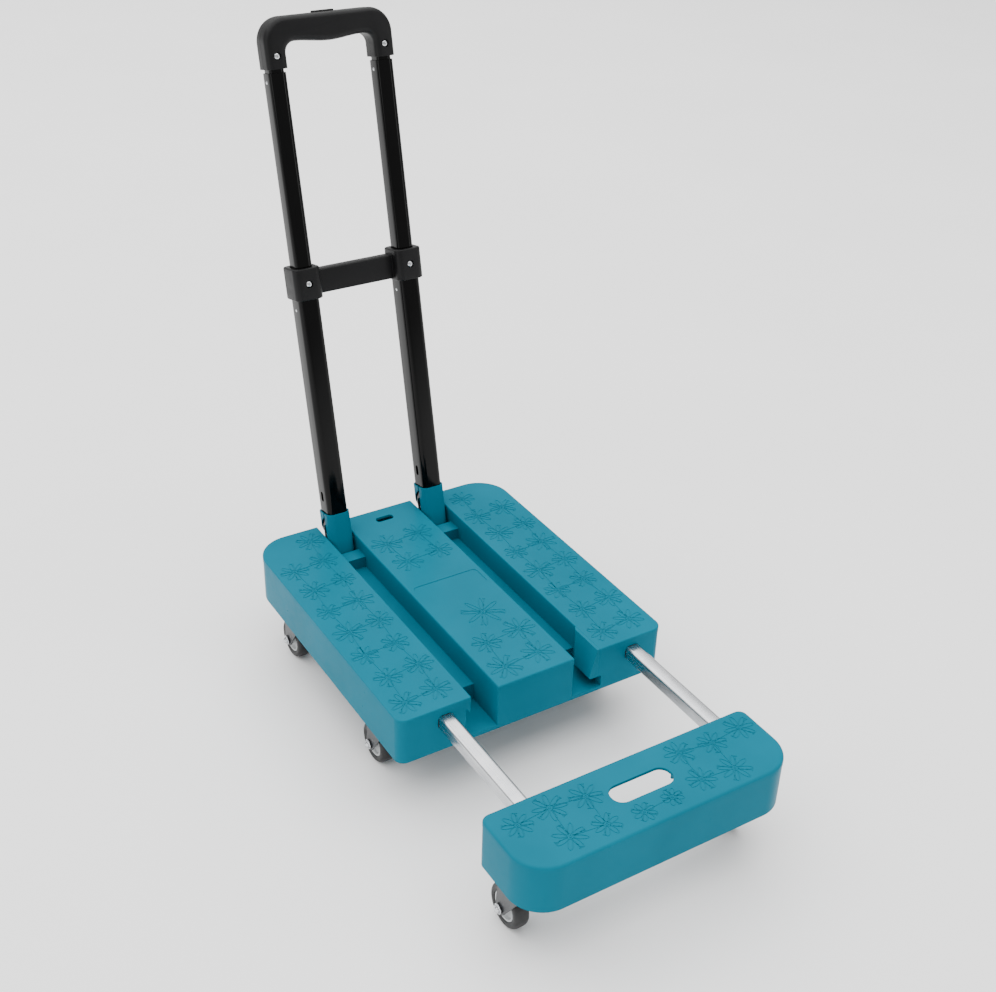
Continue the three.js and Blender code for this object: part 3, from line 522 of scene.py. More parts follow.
# %% Mouths, lip, hook, slot and panel
backing = block(-outer_wall - 9.5, -outer_wall - 1, front + 1, front + 50, bottom + 2, top - 1)
lip_gap = plate(
    [(-outer_wall + 1, bottom + 35.5), (-outer_wall - 6, bottom + 45), (-outer_wall - 6.5, bottom + 42),
     (-outer_wall - 6.5, bottom + 5.5), (-outer_wall + 1, bottom + 5.5)], "Y", front - 4, front + 47,
)
hook_backing = block(outer_wall + 1, outer_wall + 8, front + 1, front + 50, bottom + 2, bottom + 22)
hook = plate(
    [(outer_wall - 3.2, top - 0.4), (outer_wall - 12, bottom + 22), (outer_wall - 10.5, bottom + 20),
     (outer_wall + 1, bottom + 20), (outer_wall + 1, top - 0.4)], "Y", front + 0.6, front + 50,
)
taper = plate(
    [(outer_wall - 0.1, front + 50.5), (outer_wall - 13, front + 50.5), (outer_wall - 13, front + 30)],
    "Z", bottom + 10, top + 2,
)
hook = cut(hook, taper)
under_hook = block(outer_wall - 1, outer_wall + 5, front - 4, front + 47, bottom + 5.5, bottom + 20)
mouths = [passage(x, front - 4, front + 8, 19.2) for x in tube_x]
rear_slot = round_corners(block(-12, 12, front + 361, front + 371, top - 12, top + 4), (4,) * 4)
panel = round_corners(
    block(-44, 44, front + 178, front + 210, top - 0.6, top + 4), (6, 6, 6, 6),
)
deck = join(deck, backing, hook_backing, hook)
deck = cut(deck, lip_gap, under_hook, rear_slot, panel, *mouths)
deck_piece = finish_piece(
    deck, "deck_moulding", "deck", "teal_plastic", teal_polypropylene, ["deck"], edge=0.7,
)
print("deck moulding:", len(deck_piece.data.polygons), "faces")

# %% [markdown]
# ## The front unit
#
# It is one more hollow block, with a hand slot through its top and a recess in the wall behind, so
# that fingers can close round the rim. The slot's edge is rolled like the others.

# %% Front unit
unit_low, unit_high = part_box("front_unit")
ux0, ux1, uy0, uy1 = unit_low.x / MM, unit_high.x / MM, unit_low.y / MM, unit_high.y / MM
unit_middle = (ux0 + ux1) / 2
unit = hollow_block(ux0, ux1, uy0, uy1, (40, 40, 10, 10))
slot_y = uy1 - 43
slot_half = Vector((37, 12.5))
slot_corner, slot_flare = 11.5, 1.6


def slot_cutter(margin, z0, z1):
    """A cutter for the hand slot, wider by margin all round, between two heights."""
    half = slot_half + Vector((margin, margin))
    bm = block(unit_middle - half.x, unit_middle + half.x, slot_y - half.y, slot_y + half.y, z0, z1)
    return round_corners(bm, (slot_corner + margin,) * 4)


hand_slot = slot_cutter(0, bottom - 4, top + 4)
# The flare narrows to the slot's own size at its foot, which chamfers the rim.
slot_lip = slot_cutter(slot_flare, top - slot_flare, top + 4)
narrowing = [half / (half + slot_flare) for half in slot_half]
bmesh.ops.scale(
    slot_lip, vec=(*narrowing, 1), verts=[vert for vert in slot_lip.verts if vert.co.z < top * MM],
    space=Matrix.Translation((-unit_middle * MM, -slot_y * MM, 0)),
)
unit_ribs = []
for inset in (22, 66):
    unit_ribs.append(
        block(ux0 + 5, ux1 - 5, uy1 - inset - rib, uy1 - inset, bottom + 21, top - skin + 1)
    )
unit_pads = []
for corner in ("unit_left", "unit_right"):
    low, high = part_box("caster_plate_" + corner)
    middle_x, middle_y = (low.x + high.x) / 2 / MM, (low.y + high.y) / 2 / MM
    outward = math.copysign(1, middle_x - unit_middle)
    xs = sorted((middle_x - outward * pad_half, unit_middle + outward * ((ux1 - ux0) / 2 - 1)))
    pad_foot = high.z / MM + 0.3
    unit_pads.append(block(*xs, middle_y - 14, middle_y + pad_half, pad_foot, pad_foot + pad_thickness))
recess = (unit_middle - 76, unit_middle + 76, uy1 - 26)
finger_recess = block(*recess, uy1 + 4, bottom - 4, bottom + 36)
rib_gap = block(*recess, uy1 - skin, bottom - 4, top - skin)
unit = join(unit, *unit_ribs, *unit_pads)
unit = cut(
    unit, hand_slot, slot_lip, finger_recess, rib_gap, *[passage(x, uy1 - 80, uy1 + 8, 18.6) for x in tube_x],
)
unit_piece = finish_piece(
    unit, "front_unit_moulding", "front_unit", "teal_plastic", teal_polypropylene, ["front_unit"], edge=0.7,
)
print("front unit:", len(unit_piece.data.polygons), "faces")

# %% [markdown]
# ## Slide tubes
#
# Square chromed steel tube with rounded corners. A brick with its long edges bevelled gives the
# outside, and cutting a smaller one out of it gives the wall.

# %% Slide tubes and their end plugs
def square_tube(low, high, radius, wall, axis):
    """A rounded square tube between two corners, open along its axis."""
    low, high = Vector(low), Vector(high)
    outside = round_edges(brick(low, high), radius, 8, along(axis))
    step = Vector((wall, wall, wall))
    step["XYZ".index(axis)] = -4
    inside = round_edges(brick(low + step, high - step), radius - wall, 6, along(axis))
    return cut(outside, inside)


head_length, stub_inset = 3, 2
mouth_half, bush_length = 9.6, 7.9


for hand in ("left", "right"):
    low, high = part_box("slide_tube_" + hand)
    finish_piece(
        square_tube(low / MM, high / MM, 4, 1.4, "Y"), "slide_tube_skin_" + hand, "front_unit",
        "chrome_steel", chrome_plate, ["slide_tube_" + hand], edge=0.3,
    )
    low, high = (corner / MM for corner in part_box("tube_end_plug_" + hand))
    plug = round_edges(brick((low.x, high.y - head_length, low.z), high), 4, 6, along("Y"))
    stub = block(
        low.x + stub_inset, high.x - stub_inset, low.y, high.y - 1, low.z + stub_inset, high.z - stub_inset,
    )
    round_edges(stub, 2.6, 4, along("Y"))
    finish_piece(
        join(plug, stub), "slide_plug_" + hand, "front_unit", "black_plastic", black_abs,
        ["tube_end_plug_" + hand], edge=0.5,
    )
    mouth = tube_x[("left", "right").index(hand)]
    bush = square_tube(
        (mouth - mouth_half, front + 0.15, tube_z - mouth_half),
        (mouth + mouth_half, front + bush_length, tube_z + mouth_half), 5.6, 0.45, "Y",
    )
    finish_piece(bush, "guide_bush_" + hand, "deck", "black_plastic", black_abs, edge=0)
print("slide tubes at", [round(x) for x in tube_x], "mm")

# %% [markdown]
# ## Working along the poles
#
# The handle leans back, so its pieces are made upright in pole coordinates - X across, Y from front
# to back of the pole, Z up the pole from the hinge - and turned into place by one matrix. The hinge's
# place and the lean come from the joints, and a node's extent is measured along the pole.

# %% Pole coordinates
hinge = Vector(joints["handle_fold"]["pos_m"])
down = Vector(joints["mid_slide"]["axis"])
lean = math.atan2(-down.y, -down.z)
pole = Matrix.Translation(hinge) @ Matrix.Rotation(-lean, 4, "X")
to_pole = pole.inverted()


def pole_box(node):
    """A node's lowest and highest corners in pole coordinates, in mm."""
    points = [to_pole @ vert.co for vert in frame["nodes"][node].data.vertices]
    return (
        Vector([min(p[i] for p in points) for i in range(3)]) / MM,
        Vector([max(p[i] for p in points) for i in range(3)]) / MM,
    )


def finish_on_pole(bm, *args, **settings):
    bmesh.ops.transform(bm, matrix=pole, verts=bm.verts)
    return finish_piece(bm, *args, **settings)


print("handle leans", round(math.degrees(lean), 1), "degrees")

# %% [markdown]
# ## Telescoping poles
#
# Three stages of rounded steel tube slide in each other. Only the lowest is large enough to show its
# lock hole, and its front wall is open round the hinge.

# %% Tubes
stages = [
    ("lower_tube_", "handle_lower", 7, 1.4),
    ("mid_tube_", "handle_mid", 6.5, 1.2),
    ("inner_tube_", "handle_top", 5.5, 1.2),
]
for hand in ("left", "right"):
    for stem, body, radius, wall in stages:
        low, high = pole_box(stem + hand)
        tube = square_tube(low, high, radius, wall, "Z")
        middle = (low.x + high.x) / 2
        if stem == "lower_tube_":
            notch = block(middle - 10.1, middle + 10.1, low.y - 4, low.y + 4.4, low.z - 1, low.z + 17)
            lock_hole = round_edges(
                block(low.x - 4, middle, -3, 3, 45.5, 58.5), 2.9, 8, along("X"),
            )
            pin_hole = rod(3.8, (low.x - 4, 0, 0), (high.x + 4, 0, 0))
            tube = cut(tube, notch, lock_hole, pin_hole)
        finish_on_pole(
            tube, stem + "skin_" + hand, body, "black_painted_tube", black_enamel, [stem + hand], edge=0.3,
        )
print("pole stages:", len(stages))

# %% [markdown]
# A flush rivet stops each of the lower and mid stages and shows as a small bright dot; the spring
# stop's dimple is not drawn. A rivet head is a shallow dome: a turned profile that starts and ends
# on its axis.

# %% Rivets on the stages
def rivet(node, station, offset, name, body):
    low, high = pole_box(node)
    profile = [(0, 0.7), (0.9, 0.6), (1.6, 0.3), (2.0, -0.1), (2.0, -0.6), (0, -0.6)]
    head = turned(profile, 24)
    bmesh.ops.transform(head, matrix=Matrix.Rotation(math.pi, 4, "Z"), verts=head.verts)
    bmesh.ops.translate(head, vec=Vector((low.x, offset, station)) * MM, verts=head.verts)
    finish_on_pole(head, name, body, "chrome_steel", bright_fastener, edge=0)


for hand in ("left", "right"):
    rivet("lower_tube_" + hand, 292, 0, "lower_rivet_" + hand, "handle_lower")
    rivet("mid_tube_" + hand, 556, 0, "mid_rivet_" + hand, "handle_mid")

# %% [markdown]
# ## Foot sleeves
#
# A teal sleeve slides down over each hinge and keeps the pole upright. It is a thin moulded tube
# whose left wall is slit: the slit is narrow at the rim and opens into a smooth curve below.

# %% Sleeves
for hand in ("left", "right"):
    low, high = pole_box("sleeve_" + hand)
    tube = square_tube(low, high, 9, 1.7, "Z")
    half = high.y
    slit = [(-3, low.z - 4), (half + 4, low.z - 4), (half + 4, high.z - 39)]
    # The curved edge runs from the back face up to the slit.
    slit += [
        (-0.4 + (half + 0.5) * math.cos(t) ** 1.6, high.z - 39 + 33 * math.sin(t))
        for t in [step / 14 * math.pi / 2 for step in range(15)]
    ]
    slit += [(-0.4, high.z + 4), (-3, high.z + 4)]
    opening = plate(slit, "X", low.x - 4, low.x + 7)
    sleeve = cut(tube, opening)
    finish_on_pole(
        sleeve, "foot_sleeve_" + hand, "sleeve_" + hand, "teal_plastic", teal_polypropylene,
        ["sleeve_" + hand], edge=0.35,
    )
print("sleeves: two, wall 1.7 mm")

# %% [markdown]
# ## The bracket
#
# A moulded collar grips the top of each lower tube, and a bridge set back from their faces joins
# them. Each collar is screwed from the front through a counterbore that sinks the screw's head.

# %% Bracket
head_hole, head_depth, shank_hole = 4.5, 2.6, 1.9


def screw_hole(x, face, z, depth):
    """Cutters for a counterbore and a shank hole, into a face towards -Y."""
    counterbore = rod(head_hole, (x, face - 4, z), (x, face + head_depth, z))
    return [counterbore, rod(shank_hole, (x, face, z), (x, face + depth, z), 16)]


low, high = pole_box("handle_bracket")
front_face = low.y
collars = []
for x in (-pole_x, pole_x):
    collar = block(x - 17.5, x + 17.5, low.y, high.y, low.z, high.z)
    round_edges(collar, 8, 8, along("Z"))
    round_edges(collar, 1.6, 3, level(low.z, high.z))
    collars.append(collar)
bridge = block(-pole_x, pole_x, -3.9, 12.5, 307, 337)
round_edges(bridge, 3, 4, along("X"))
bracket = join(collars[0], collars[1], bridge)
screw_z = (low.z + high.z) / 2
holes = []
for x in (-pole_x, pole_x):
    lower_bore = block(x - 13.8, x + 13.8, -15.8, 15.8, low.z - 4, high.z - 2.5)
    holes.append(round_edges(lower_bore, 7.3, 8, along("Z")))
    mid_bore = block(x - 11.4, x + 11.4, -13.15, 13.15, low.z, high.z + 4)
    holes.append(round_edges(mid_bore, 6.9, 8, along("Z")))
    holes += screw_hole(x, front_face, screw_z, 4.4)
bracket = cut(bracket, *holes)
finish_on_pole(
    bracket, "bracket_moulding", "handle_lower", "black_plastic", black_abs, ["handle_bracket"], edge=0.5,
)

# %% [markdown]
# ## Screws
#
# A pan head is a turned profile, and its cross recess is cut by two crossed blades.

# %% Cross-head screws
def cross_screw(name, node, body):
    low, high = pole_box(node)
    centre = Vector(((low.x + high.x) / 2, low.y, (low.z + high.z) / 2))
    length = high.y - low.y
    profile = [
        (0, 0), (1.6, 0.05), (2.7, 0.35), (3.4, 0.9), (3.6, 1.5), (3.6, 1.9), (1.6, 1.9), (1.6, length),
        (0, length),
    ]
    screw = turned(profile, 40)
    for turn in (0, math.pi / 2):
        blade = block(-1, 1.1, -0.35, 0.35, -1.9, 1.9)
        bmesh.ops.rotate(blade, matrix=Matrix.Rotation(turn, 3, "X"), verts=blade.verts)
        screw = cut(screw, blade)
    bmesh.ops.rotate(screw, matrix=Matrix.Rotation(math.pi / 2, 3, "Z"), verts=screw.verts)
    bmesh.ops.translate(screw, vec=centre * MM, verts=screw.verts)
    finish_on_pole(screw, name, body, "chrome_steel", bright_fastener, [node], edge=0.1)


for hand in ("left", "right"):
    cross_screw("bracket_pan_screw_" + hand, "bracket_screw_" + hand, "handle_lower")
    cross_screw("grip_pan_screw_" + hand, "grip_screw_" + hand, "handle_top")

# %% [markdown]
# ## The grip
#
# The grip is a hollow U in two shells, front and back, screwed together round the inner tubes. The
# outline is bevelled first in the plane of the U, then all round, so the section is nearly round in
# the hand. The underside swells down in the middle for the fingers.

# %% Grip body
low = pole_box("grip_front_shell")[0]
high = pole_box("grip_rear_shell")[1]
half_width = high.x
body = block(-half_width, half_width, low.y, high.y, low.z, high.z)
grip_corner, bar_height, swell, swell_half = 28, 28, 3.5, 43.5
round_edges(body, grip_corner, 18, lambda m, d: along("Y")(m, d) and m.z > high.z - 1)
bar_bottom = high.z - bar_height
opening_half = pole_x - 12.5
room = block(-opening_half, opening_half, low.y - 4, high.y + 4, low.z - 10, bar_bottom)
round_edges(room, 12, 10, lambda m, d: along("Y")(m, d) and m.z > bar_bottom - 1)
for station in range(-40, 41, 4):
    bmesh.ops.bisect_plane(
        room, geom=room.verts[:] + room.edges[:] + room.faces[:],
        plane_co=(station * MM, 0, 0), plane_no=(1, 0, 0),
    )
for vert in room.verts:
    if vert.co.z / MM > bar_bottom - 0.01:
        share = min(abs(vert.co.x / MM) / swell_half, 1)
        vert.co.z -= swell * MM * math.cos(share * math.pi / 2) ** 2
grip = cut(body, room)
round_edges(
    grip, 7, 7, lambda m, d: min(abs(m.y - low.y), abs(m.y - high.y)) < 1e-3 and m.z > low.z + 0.01,
)

# %% Grip sockets, button slot and the two shells
button_low, button_high = pole_box("grip_button")
socket_top = pole_box("inner_tube_left")[1].z + 1
cuts = []
for x in (-pole_x, pole_x):
    socket = block(x - 9.6, x + 9.6, -11.35, 11.35, low.z - 4, socket_top)
    cuts.append(round_edges(socket, 5.6, 6, along("Z")))
    cuts += screw_hole(x, low.y, low.z + 14, 4.6)
button_hole = block(
    button_low.x - 0.3, button_high.x + 0.3, button_low.y - 0.3, button_high.y + 0.3,
    button_low.z - 14, high.z + 4,
)
cuts.append(round_edges(button_hole, 4, 6, along("Z")))
cuts.append(block(-72, 72, -5, 5, button_low.z - 11, button_low.z + 3))
grip = cut(grip, *cuts)
for name, node, y0, y1 in (
    ("grip_front_cover", "grip_front_shell", 0.15, high.y + 4),
    ("grip_rear_cover", "grip_rear_shell", low.y - 4, -0.15),
):
    shell = cut(grip.copy(), block(-half_width - 4, half_width + 4, y0, y1, low.z - 4, high.z + 4))
    finish_on_pole(shell, name, "handle_top", "black_plastic", black_abs, [node], edge=0.4)

# %% [markdown]
# The push button is a small rounded bar in the top of the grip, with softened top edges.

# %% Button
button = round_edges(brick(button_low, button_high), 4, 6, along("Z"))
round_edges(button, 1.4, 4, level(button_high.z))
finish_on_pole(button, "push_button", "release", "black_plastic", black_abs, ["grip_button"], edge=0)
print("grip and button done")

# %% [markdown]
# ## Casters
#
# Six identical casters: a screwed plate with its ball race, a pressed fork that swivels on it, and a
# wheel on an axle bolt. They are modelled once, with the swivel axis through the origin, and copied
# to each corner.

# %% Where the casters are
corners = ["unit_left", "unit_right", "front_left", "front_right", "rear_left", "rear_right"]
swivel = {corner: Vector(joints["swivel_" + corner]["pos_m"]) for corner in corners}
axle = {corner: Vector(joints["spin_" + corner]["pos_m"]) for corner in corners}
trail = (axle["front_left"].y - swivel["front_left"].y) / MM
wheel_z = axle["front_left"].z / MM
wheel_radius = (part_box("wheel_tyre_front_left")[1].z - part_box("wheel_tyre_front_left")[0].z) / 2 / MM
crown_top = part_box("caster_fork_front_left")[1].z / MM
plate_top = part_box("caster_plate_front_left")[1].z / MM
print("wheel radius", round(wheel_radius, 1), "trail", round(trail, 1), "mm")

# %% [markdown]
# The fork is bent from steel strip. Each cheek is the hull of an eye round the axle and the strip's
# full width at the crown, which the convex hull operator finds by itself.

# %% Fork
fork_inside, fork_outside, eye_radius, strip_depth = 10.6, 12.6, 8, 15
strip_front, strip_rear = -14, 21


def hull(*parts):
    bm = bmesh.new()
    for part in parts:
        mesh = bpy.data.meshes.new("hull part")
        part.to_mesh(mesh)
        bm.from_mesh(mesh)
        bpy.data.meshes.remove(mesh)
    result = bmesh.ops.convex_hull(bm, input=bm.verts)
    loose = {item for key in ("geom_interior", "geom_unused") for item in result[key]}
    bmesh.ops.delete(bm, geom=only_verts(loose), context="VERTS")
    bmesh.ops.dissolve_limit(bm, angle_limit=math.radians(1), verts=bm.verts, edges=bm.edges)
    bmesh.ops.recalc_face_normals(bm, faces=bm.faces)
    return bm


cheeks = []
for sign in (-1, 1):
    x0, x1 = sorted((sign * fork_inside, sign * fork_outside))
    eye = rod(eye_radius, (x0, trail, wheel_z), (x1, trail, wheel_z), 40)
    strip = block(x0, x1, strip_front, strip_rear, crown_top - strip_depth, crown_top)
    cheeks.append(hull(eye, strip))
crown = block(-fork_outside, fork_outside, strip_front, strip_rear, crown_top - 2.5, crown_top)
web = block(
    -fork_outside, fork_outside, strip_front, strip_front + 2, crown_top - strip_depth, crown_top,
)
boss = rod(5.5, (-fork_outside - 1.2, trail, wheel_z), (-fork_inside, trail, wheel_z), 32)
fork_shape = join(cheeks[0], cheeks[1], crown, web, boss)
fork_shape = cut(
    fork_shape,
    rod(3.3, (-20, trail, wheel_z), (20, trail, wheel_z), 32),
    rod(5.4, (0, 0, crown_top - 6), (0, 0, crown_top + 4), 32),
)
round_edges(
    fork_shape, 1.6, 4,
    lambda m, d: along("Y")(m, d) and level(crown_top)(m, d) and abs(abs(m.x) - fork_outside) < 1e-3,
)
print("fork:", len(fork_shape.faces), "faces")

# %% Caster plate
race_bottom = crown_top + 0.4
plate_half, plate_thickness, plate_corner, screw_spot = 20, 3, 4, 15.5
plate_foot = plate_top - plate_thickness
plate_shape = block(-plate_half, plate_half, -plate_half, plate_half, plate_foot, plate_top)
round_edges(plate_shape, plate_corner, 6, along("Z"))
race = rod(14, (0, 0, race_bottom), (0, 0, plate_top - 1), 48)
round_edges(race, 2, 4, level(race_bottom))
stem = rod(5, (0, 0, crown_top - 4), (0, 0, race_bottom + 1), 32)
rivet_head = rod(6.4, (0, 0, crown_top - 5.4), (0, 0, crown_top - 2.9), 32, 8)
plate_shape = join(plate_shape, race, stem, rivet_head)
for x in (-screw_spot, screw_spot):
    for y in (-screw_spot, screw_spot):
        head = rod(2.4, (x, y, plate_top - 4.6), (x, y, plate_top - 2), 20, 3.2)
        plate_shape = join(plate_shape, head)

# %% [markdown]
# The wheel is two turned profiles. The hub has a thin web, a raised rim and a long boss; the tyre
# has rounded shoulders. The axle is a bolt with a domed head and a flanged cap nut whose six flats
# are cut from the turned shape.

# %% Wheel and axle
hub_shape = turned([
    (3.3, -10.3), (6.1, -10.3), (6.5, -9.9), (6.5, -4.4), (7.0, -4), (13, -4), (13.8, -4.5), (14.6, -7.3),
    (15.1, -7.7), (16.5, -7.7), (17, -7.2), (17, 7.2), (16.5, 7.7), (15.1, 7.7), (14.6, 7.3), (13.8, 4.5),
    (13, 4), (7.0, 4), (6.5, 4.4), (6.5, 9.9), (6.1, 10.3), (3.3, 10.3),
], 72)
r = wheel_radius
shoulder = [(r - 4.3, 8.95), (r - 3.2, 8.8), (r - 2.0, 8.1), (r - 1.0, 6.9), (r - 0.35, 5.3), (r - 0.05, 3.6)]
tyre_shape = turned(
    [(17.3, -7.6), (17.6, -8.2), (18.6, -8.6)] + [(a, -b) for a, b in shoulder] + [(r - 0.02, 0)]
    + [(a, b) for a, b in reversed(shoulder)] + [(18.6, 8.6), (17.6, 8.2), (17.3, 7.6)], 96,
)
bolt_profile = [
    (0, -18.7), (1.6, -18.5), (3.0, -17.8), (3.9, -16.7), (5.4, -15.8), (5.4, -15.3), (5.95, -14.9),
    (6, -14.1),
    (3, -14.1), (3, 12.9), (5.5, 12.9), (5.4, 13.8), (4.6, 15.2), (3, 15.9), (0, 16.2),
]
bolt_shape = turned(bolt_profile, 48)
flats = []
for k in range(6):
    flat = block(-19.5, -15.25, 4.25, 9, -9, 9)
    bmesh.ops.rotate(flat, matrix=Matrix.Rotation(k * math.pi / 3, 3, "X"), verts=flat.verts)
    flats.append(flat)
bolt_shape = cut(bolt_shape, *flats)
print("hub", len(hub_shape.faces), "tyre", len(tyre_shape.faces), "bolt", len(bolt_shape.faces))

# %% Copy the casters to their corners
def placed(shape, offset):
    bm = shape.copy()
    bmesh.ops.translate(bm, vec=offset, verts=bm.verts)
    return bm


for corner in corners:
    ground = Vector((swivel[corner].x, swivel[corner].y, 0))
    base = "front_unit" if corner.startswith("unit") else "deck"
    caster, wheel = "caster_" + corner, "wheel_" + corner
    finish_piece(placed(plate_shape, ground), "swivel_plate_" + corner, base, "plated_steel", zinc_plate,
                 ["caster_plate_" + corner], edge=0.3)
    finish_piece(placed(fork_shape, ground), "fork_" + corner, caster, "grey_painted_steel", fork_paint_and_slit_shade,
                 ["caster_fork_" + corner], edge=0.4)
    finish_piece(placed(bolt_shape, axle[corner]), "axle_" + corner, caster, "chrome_steel", bright_fastener,
                 ["axle_bolt_" + corner], edge=0.15)
    finish_piece(placed(hub_shape, axle[corner]), "hub_" + corner, wheel, "white_plastic", white_nylon,
                 ["wheel_hub_" + corner], edge=0)
    finish_piece(placed(tyre_shape, axle[corner]), "tyre_" + corner, wheel, "black_tyre", tyre_rubber,
                 ["wheel_tyre_" + corner], edge=0)

# %% [markdown]
# ## Raised ornament
#
# The tops carry a fine raised line pattern of flowers on a loose grid, which also stops boxes from
# sliding. Each petal is a circle squeezed into an ellipse: its edge is extruded inwards to a thin ring,
# and the ring is raised by 0.4 mm. The design is a plain eight-petal one.

# %% Petals, dots and grid lines
raised = 0.4
line_width = 0.55


def petal_ring(bm, centre, angle, start, length, width):
    """A thin elliptical ring, start to start + length from the centre."""
    outer = bmesh.ops.create_circle(bm, segments=18, radius=1)["verts"]
    edges = list({edge for vert in outer for edge in vert.link_edges})
    band = bmesh.ops.extrude_edge_only(bm, edges=edges)["geom"]
    inner = only_verts(band)
    flat = [item for item in band if isinstance(item, bmesh.types.BMFace)]
    shrink = (1 - 2 * line_width / length, 1 - 2 * line_width / width, 1)
    bmesh.ops.scale(bm, vec=shrink, verts=inner)
    lifted = bmesh.ops.extrude_face_region(bm, geom=flat, use_keep_orig=True)["geom"]
    upper = only_verts(lifted)
    bmesh.ops.translate(bm, vec=(0, 0, raised + 0.3), verts=upper)
    shape = (
        Matrix.Translation(Vector((centre[0], centre[1], top - 0.3)) * MM)
        @ Matrix.Rotation(angle, 4, "Z")
        @ Matrix.Translation(Vector((start + length / 2, 0, 0)) * MM)
        @ Matrix.Diagonal((length / 2 * MM, width / 2 * MM, MM, 1))
    )
    bmesh.ops.transform(bm, matrix=shape, verts=outer + inner + upper)


def ridge(bm, a, b):
    """A thin straight bar on the top face from a to b."""
    a, b = Vector((*a, 0)), Vector((*b, 0))
    verts = bmesh.ops.create_cube(bm, size=1)["verts"]
    turn = math.atan2((b - a).y, (b - a).x)
    shape = (
        Matrix.Translation(((a + b) / 2 + Vector((0, 0, top + raised / 2 - 0.15))) * MM)
        @ Matrix.Rotation(turn, 4, "Z")
        @ Matrix.Diagonal(((b - a).length * MM, line_width * MM, (raised + 0.3) * MM, 1))
    )
    bmesh.ops.transform(bm, matrix=shape, verts=verts)


def flower(bm, centre, turn, reach):
    """Petal rings and cross-tipped stamens by turns, round a small ring."""
    x, y = centre
    for petal in range(8):
        angle = turn + petal * math.pi / 4
        if petal % 2:
            out = Vector((math.cos(angle), math.sin(angle)))
            side_step = Vector((-out.y, out.x)) * 1.6
            root, tip = Vector(centre) + out * 3, Vector(centre) + out * (reach - 1)
            ridge(bm, root, tip)
            ridge(bm, tip - side_step, tip + side_step)
        petal_ring(bm, centre, angle + math.pi / 16, 2.8, reach - 2.8, 5.6)
    petal_ring(bm, centre, 0, -1.6, 3.2, 3.2)


def flower_field(name, body, corners, columns, rows, room_for, reach=22):
    """Flowers on a staggered grid over a rectangle, joined by ridges where both ends have room."""
    x0, x1, y0, y1 = corners
    bm = bmesh.new()
    pitch_x, pitch_y = (x1 - x0) / columns, (y1 - y0) / rows
    fits = {}
    for row in range(rows):
        for column in range(columns):
            slant = 0.05 * pitch_x * (1 if row % 2 else -1)
            spot = (x0 + pitch_x * (column + 0.5) + slant, y0 + pitch_y * (row + 0.45 + 0.1 * (column % 2)))
            if room_for(*spot):
                fits[row, column] = spot
    for (row, column), spot in fits.items():
        edge_room = min(spot[0] - x0, x1 - spot[0], spot[1] - y0, y1 - spot[1])
        size = min(reach, pitch_x * 0.5, pitch_y * 0.5, edge_room) * (1 - 0.08 * ((row * 2 + column) % 3))
        flower(bm, spot, 0.35 * row + 0.8 * column, size)
        for step in ((0, 1), (1, 0)):
            other = fits.get((row + step[0], column + step[1]))
            if other:
                here, there = Vector(spot), Vector(other)
                ridge(bm, here.lerp(there, 0.1), here.lerp(there, 0.9))
    bmesh.ops.recalc_face_normals(bm, faces=bm.faces)
    return finish_piece(bm, name, body, "teal_plastic", teal_polypropylene, edge=0)


def inside_corner(x, y, reach_x, reach_y, radius, margin=24):
    """Is a flower at (x, y) clear of the rounded corner of a platform?"""
    along, across = abs(x) - (reach_x - radius), y - (reach_y - radius)
    return along < 0 or across < 0 or math.hypot(along, across) < radius - margin


deck_rows = (front + 6, rear - 6)
clear_of_rear = lambda x, y: inside_corner(x, y, side, rear, 42)
left = flower_field(
    "ornament_left", "deck", (-side + 4, -outer_wall - 4, *deck_rows), 2, 8, clear_of_rear,
)
right = flower_field(
    "ornament_right", "deck", (outer_wall + 4, side - 4, *deck_rows), 2, 8, clear_of_rear,
)
middle = flower_field(
    "ornament_middle", "deck", (-inner_wall + 4, inner_wall - 4, *deck_rows), 2, 8,
    lambda x, y: not front + 82 < y < front + 232 and y < rear - 48,
)
large = bmesh.new()
flower(large, (6, front + 128), 0.2, 27)
bmesh.ops.recalc_face_normals(large, faces=large.faces)
large = finish_piece(large, "ornament_large", "deck", "teal_plastic", teal_polypropylene, edge=0)
unit_top = flower_field(
    "ornament_unit", "front_unit", (ux0 + 5, ux1 - 5, uy0 + 5, uy1 - 5), 8, 2,
    lambda x, y: abs(x - unit_middle) > 56
    and inside_corner(x - unit_middle, -y, (ux1 - ux0) / 2, -uy0, 40),
)
unit_front_row = flower_field(
    "ornament_unit_front", "front_unit", (unit_middle - 37, unit_middle + 37, uy0 + 6, slot_y - 16), 2, 1,
    lambda x, y: True,
)
fields = (left, right, middle, large, unit_top, unit_front_row)
print("ornament faces:", [len(piece.data.polygons) for piece in fields])

# %% [markdown]
# ## Solids that are already right
# The hidden parts - the pole feet, hinge pins and the release bar and rods in the grip - keep their
# working-model shape and only take a finish. The pole feet take the forks' dark coat as painted
# shade, which darkens the slits of the sleeves. Assigning to the material slot leaves the mesh alone.

# %% Finishes for the hidden solids
hidden_finish = {
    # Painted shade: the pole feet take the dark fork coat so that the sleeve slits read dark.
    "pole_foot": fork_paint_and_slit_shade,
    "hinge_pin": bright_fastener,
    "release_bar": zinc_plate,
    "release_rod": zinc_plate,
}
for name, node in frame["nodes"].items():
    for start, finish in hidden_finish.items():
        if name.startswith(start):
            node.data.materials.clear()
            node.data.materials.append(finish)
            print("kept solid:", name)

# %% [markdown]
# ## Floor, light and camera
#
# A plain pale floor and broad soft lights, as in a product studio. Tall soft boxes at the sides give
# the enamelled poles their long highlights.

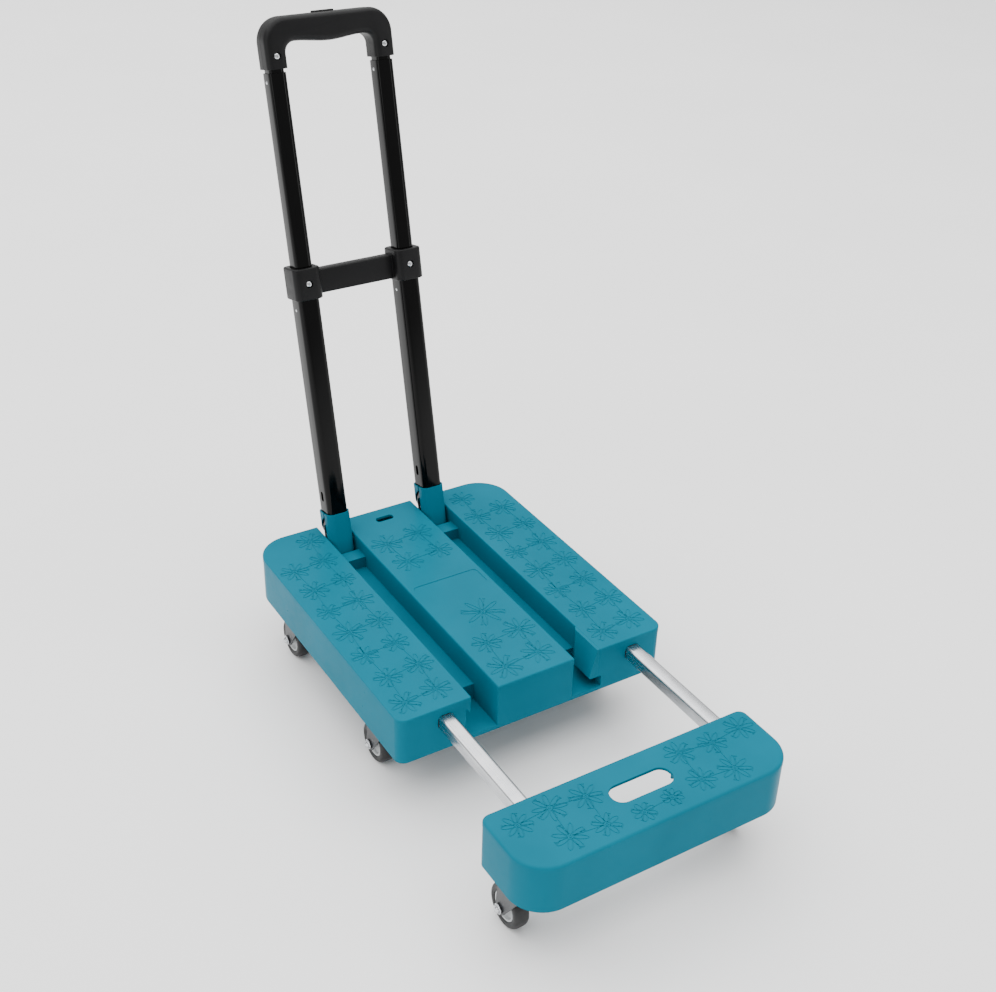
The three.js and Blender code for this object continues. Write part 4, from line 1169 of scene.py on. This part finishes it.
# %% Floor
floor_mesh = bmesh.new()
bmesh.ops.create_grid(floor_mesh, x_segments=1, y_segments=1, size=30)
floor = short_lived(floor_mesh, "floor")
floor_finish, tree, shader, place = new_finish("pale_floor", roughness=0.9)
specks = add(tree, "ShaderNodeTexNoise", {"Vector": place}, in_Scale=grains(400), in_Detail=2.0)
add(
    tree, "ShaderNodeValToRGB", {"Fac": specks.outputs["Fac"]}, [shader.inputs["Base Color"]],
    ramp=((0.3, "f7f7f7"), (0.7, "fafafa")),
)
floor.data.materials.append(floor_finish)

# %% Lights and world
world = bpy.data.worlds.new("studio")
bpy.context.scene.world = world
world.use_nodes = True
world.node_tree.nodes["Background"].inputs["Color"].default_value = (1, 1, 1, 1)
world.node_tree.nodes["Background"].inputs["Strength"].default_value = 0.75


def soft_box(name, location, target, width, height, power):
    light = bpy.data.lights.new(name, "AREA")
    light.shape = "RECTANGLE"
    light.size, light.size_y = width, height
    light.energy = power
    obj = bpy.data.objects.new(name, light)
    obj.location = location
    obj.rotation_euler = (Vector(target) - Vector(location)).to_track_quat("-Z", "Y").to_euler()
    bpy.context.scene.collection.objects.link(obj)
    return obj


# name, location, target, width, height, power in watts
soft_box("ceiling", (-0.8, 1.8, 5.0), (-0.8, 1.8, 0), 10, 10, 900)
soft_box("left_panel", (-3.0, -0.4, 1.3), (0, 0.1, 0.2), 1.6, 1.6, 18)
soft_box("right_strip", (1.7, -1.7, 1.1), (0, 0.1, 0.4), 0.3, 1.6, 8)

# %% Camera
azimuth, elevation, roll = math.radians(-32.49), math.radians(31.57), math.radians(1.88)
back = Vector((
    math.sin(azimuth) * math.cos(elevation), -math.cos(azimuth) * math.cos(elevation), math.sin(elevation),
))
across = Vector((math.cos(azimuth), math.sin(azimuth), 0))
over = back.cross(across)
right_axis = across * math.cos(roll) + over * math.sin(roll)
up_axis = over * math.cos(roll) - across * math.sin(roll)
aim = Vector((0.0268, 0.0045, 0.2859))
distance = 1.613
camera_data = bpy.data.cameras.new("camera")
camera_data.sensor_width = 36
camera_data.lens = 51.3
camera = bpy.data.objects.new("camera", camera_data)
bpy.context.scene.collection.objects.link(camera)
camera.matrix_world = Matrix.Translation(aim + back * distance) @ Matrix((
    (right_axis.x, up_axis.x, back.x, 0),
    (right_axis.y, up_axis.y, back.y, 0),
    (right_axis.z, up_axis.z, back.z, 0),
    (0, 0, 0, 1),
))
bpy.context.scene.camera = camera
print("camera at", [round(value, 3) for value in camera.location], "pieces:", len(made))
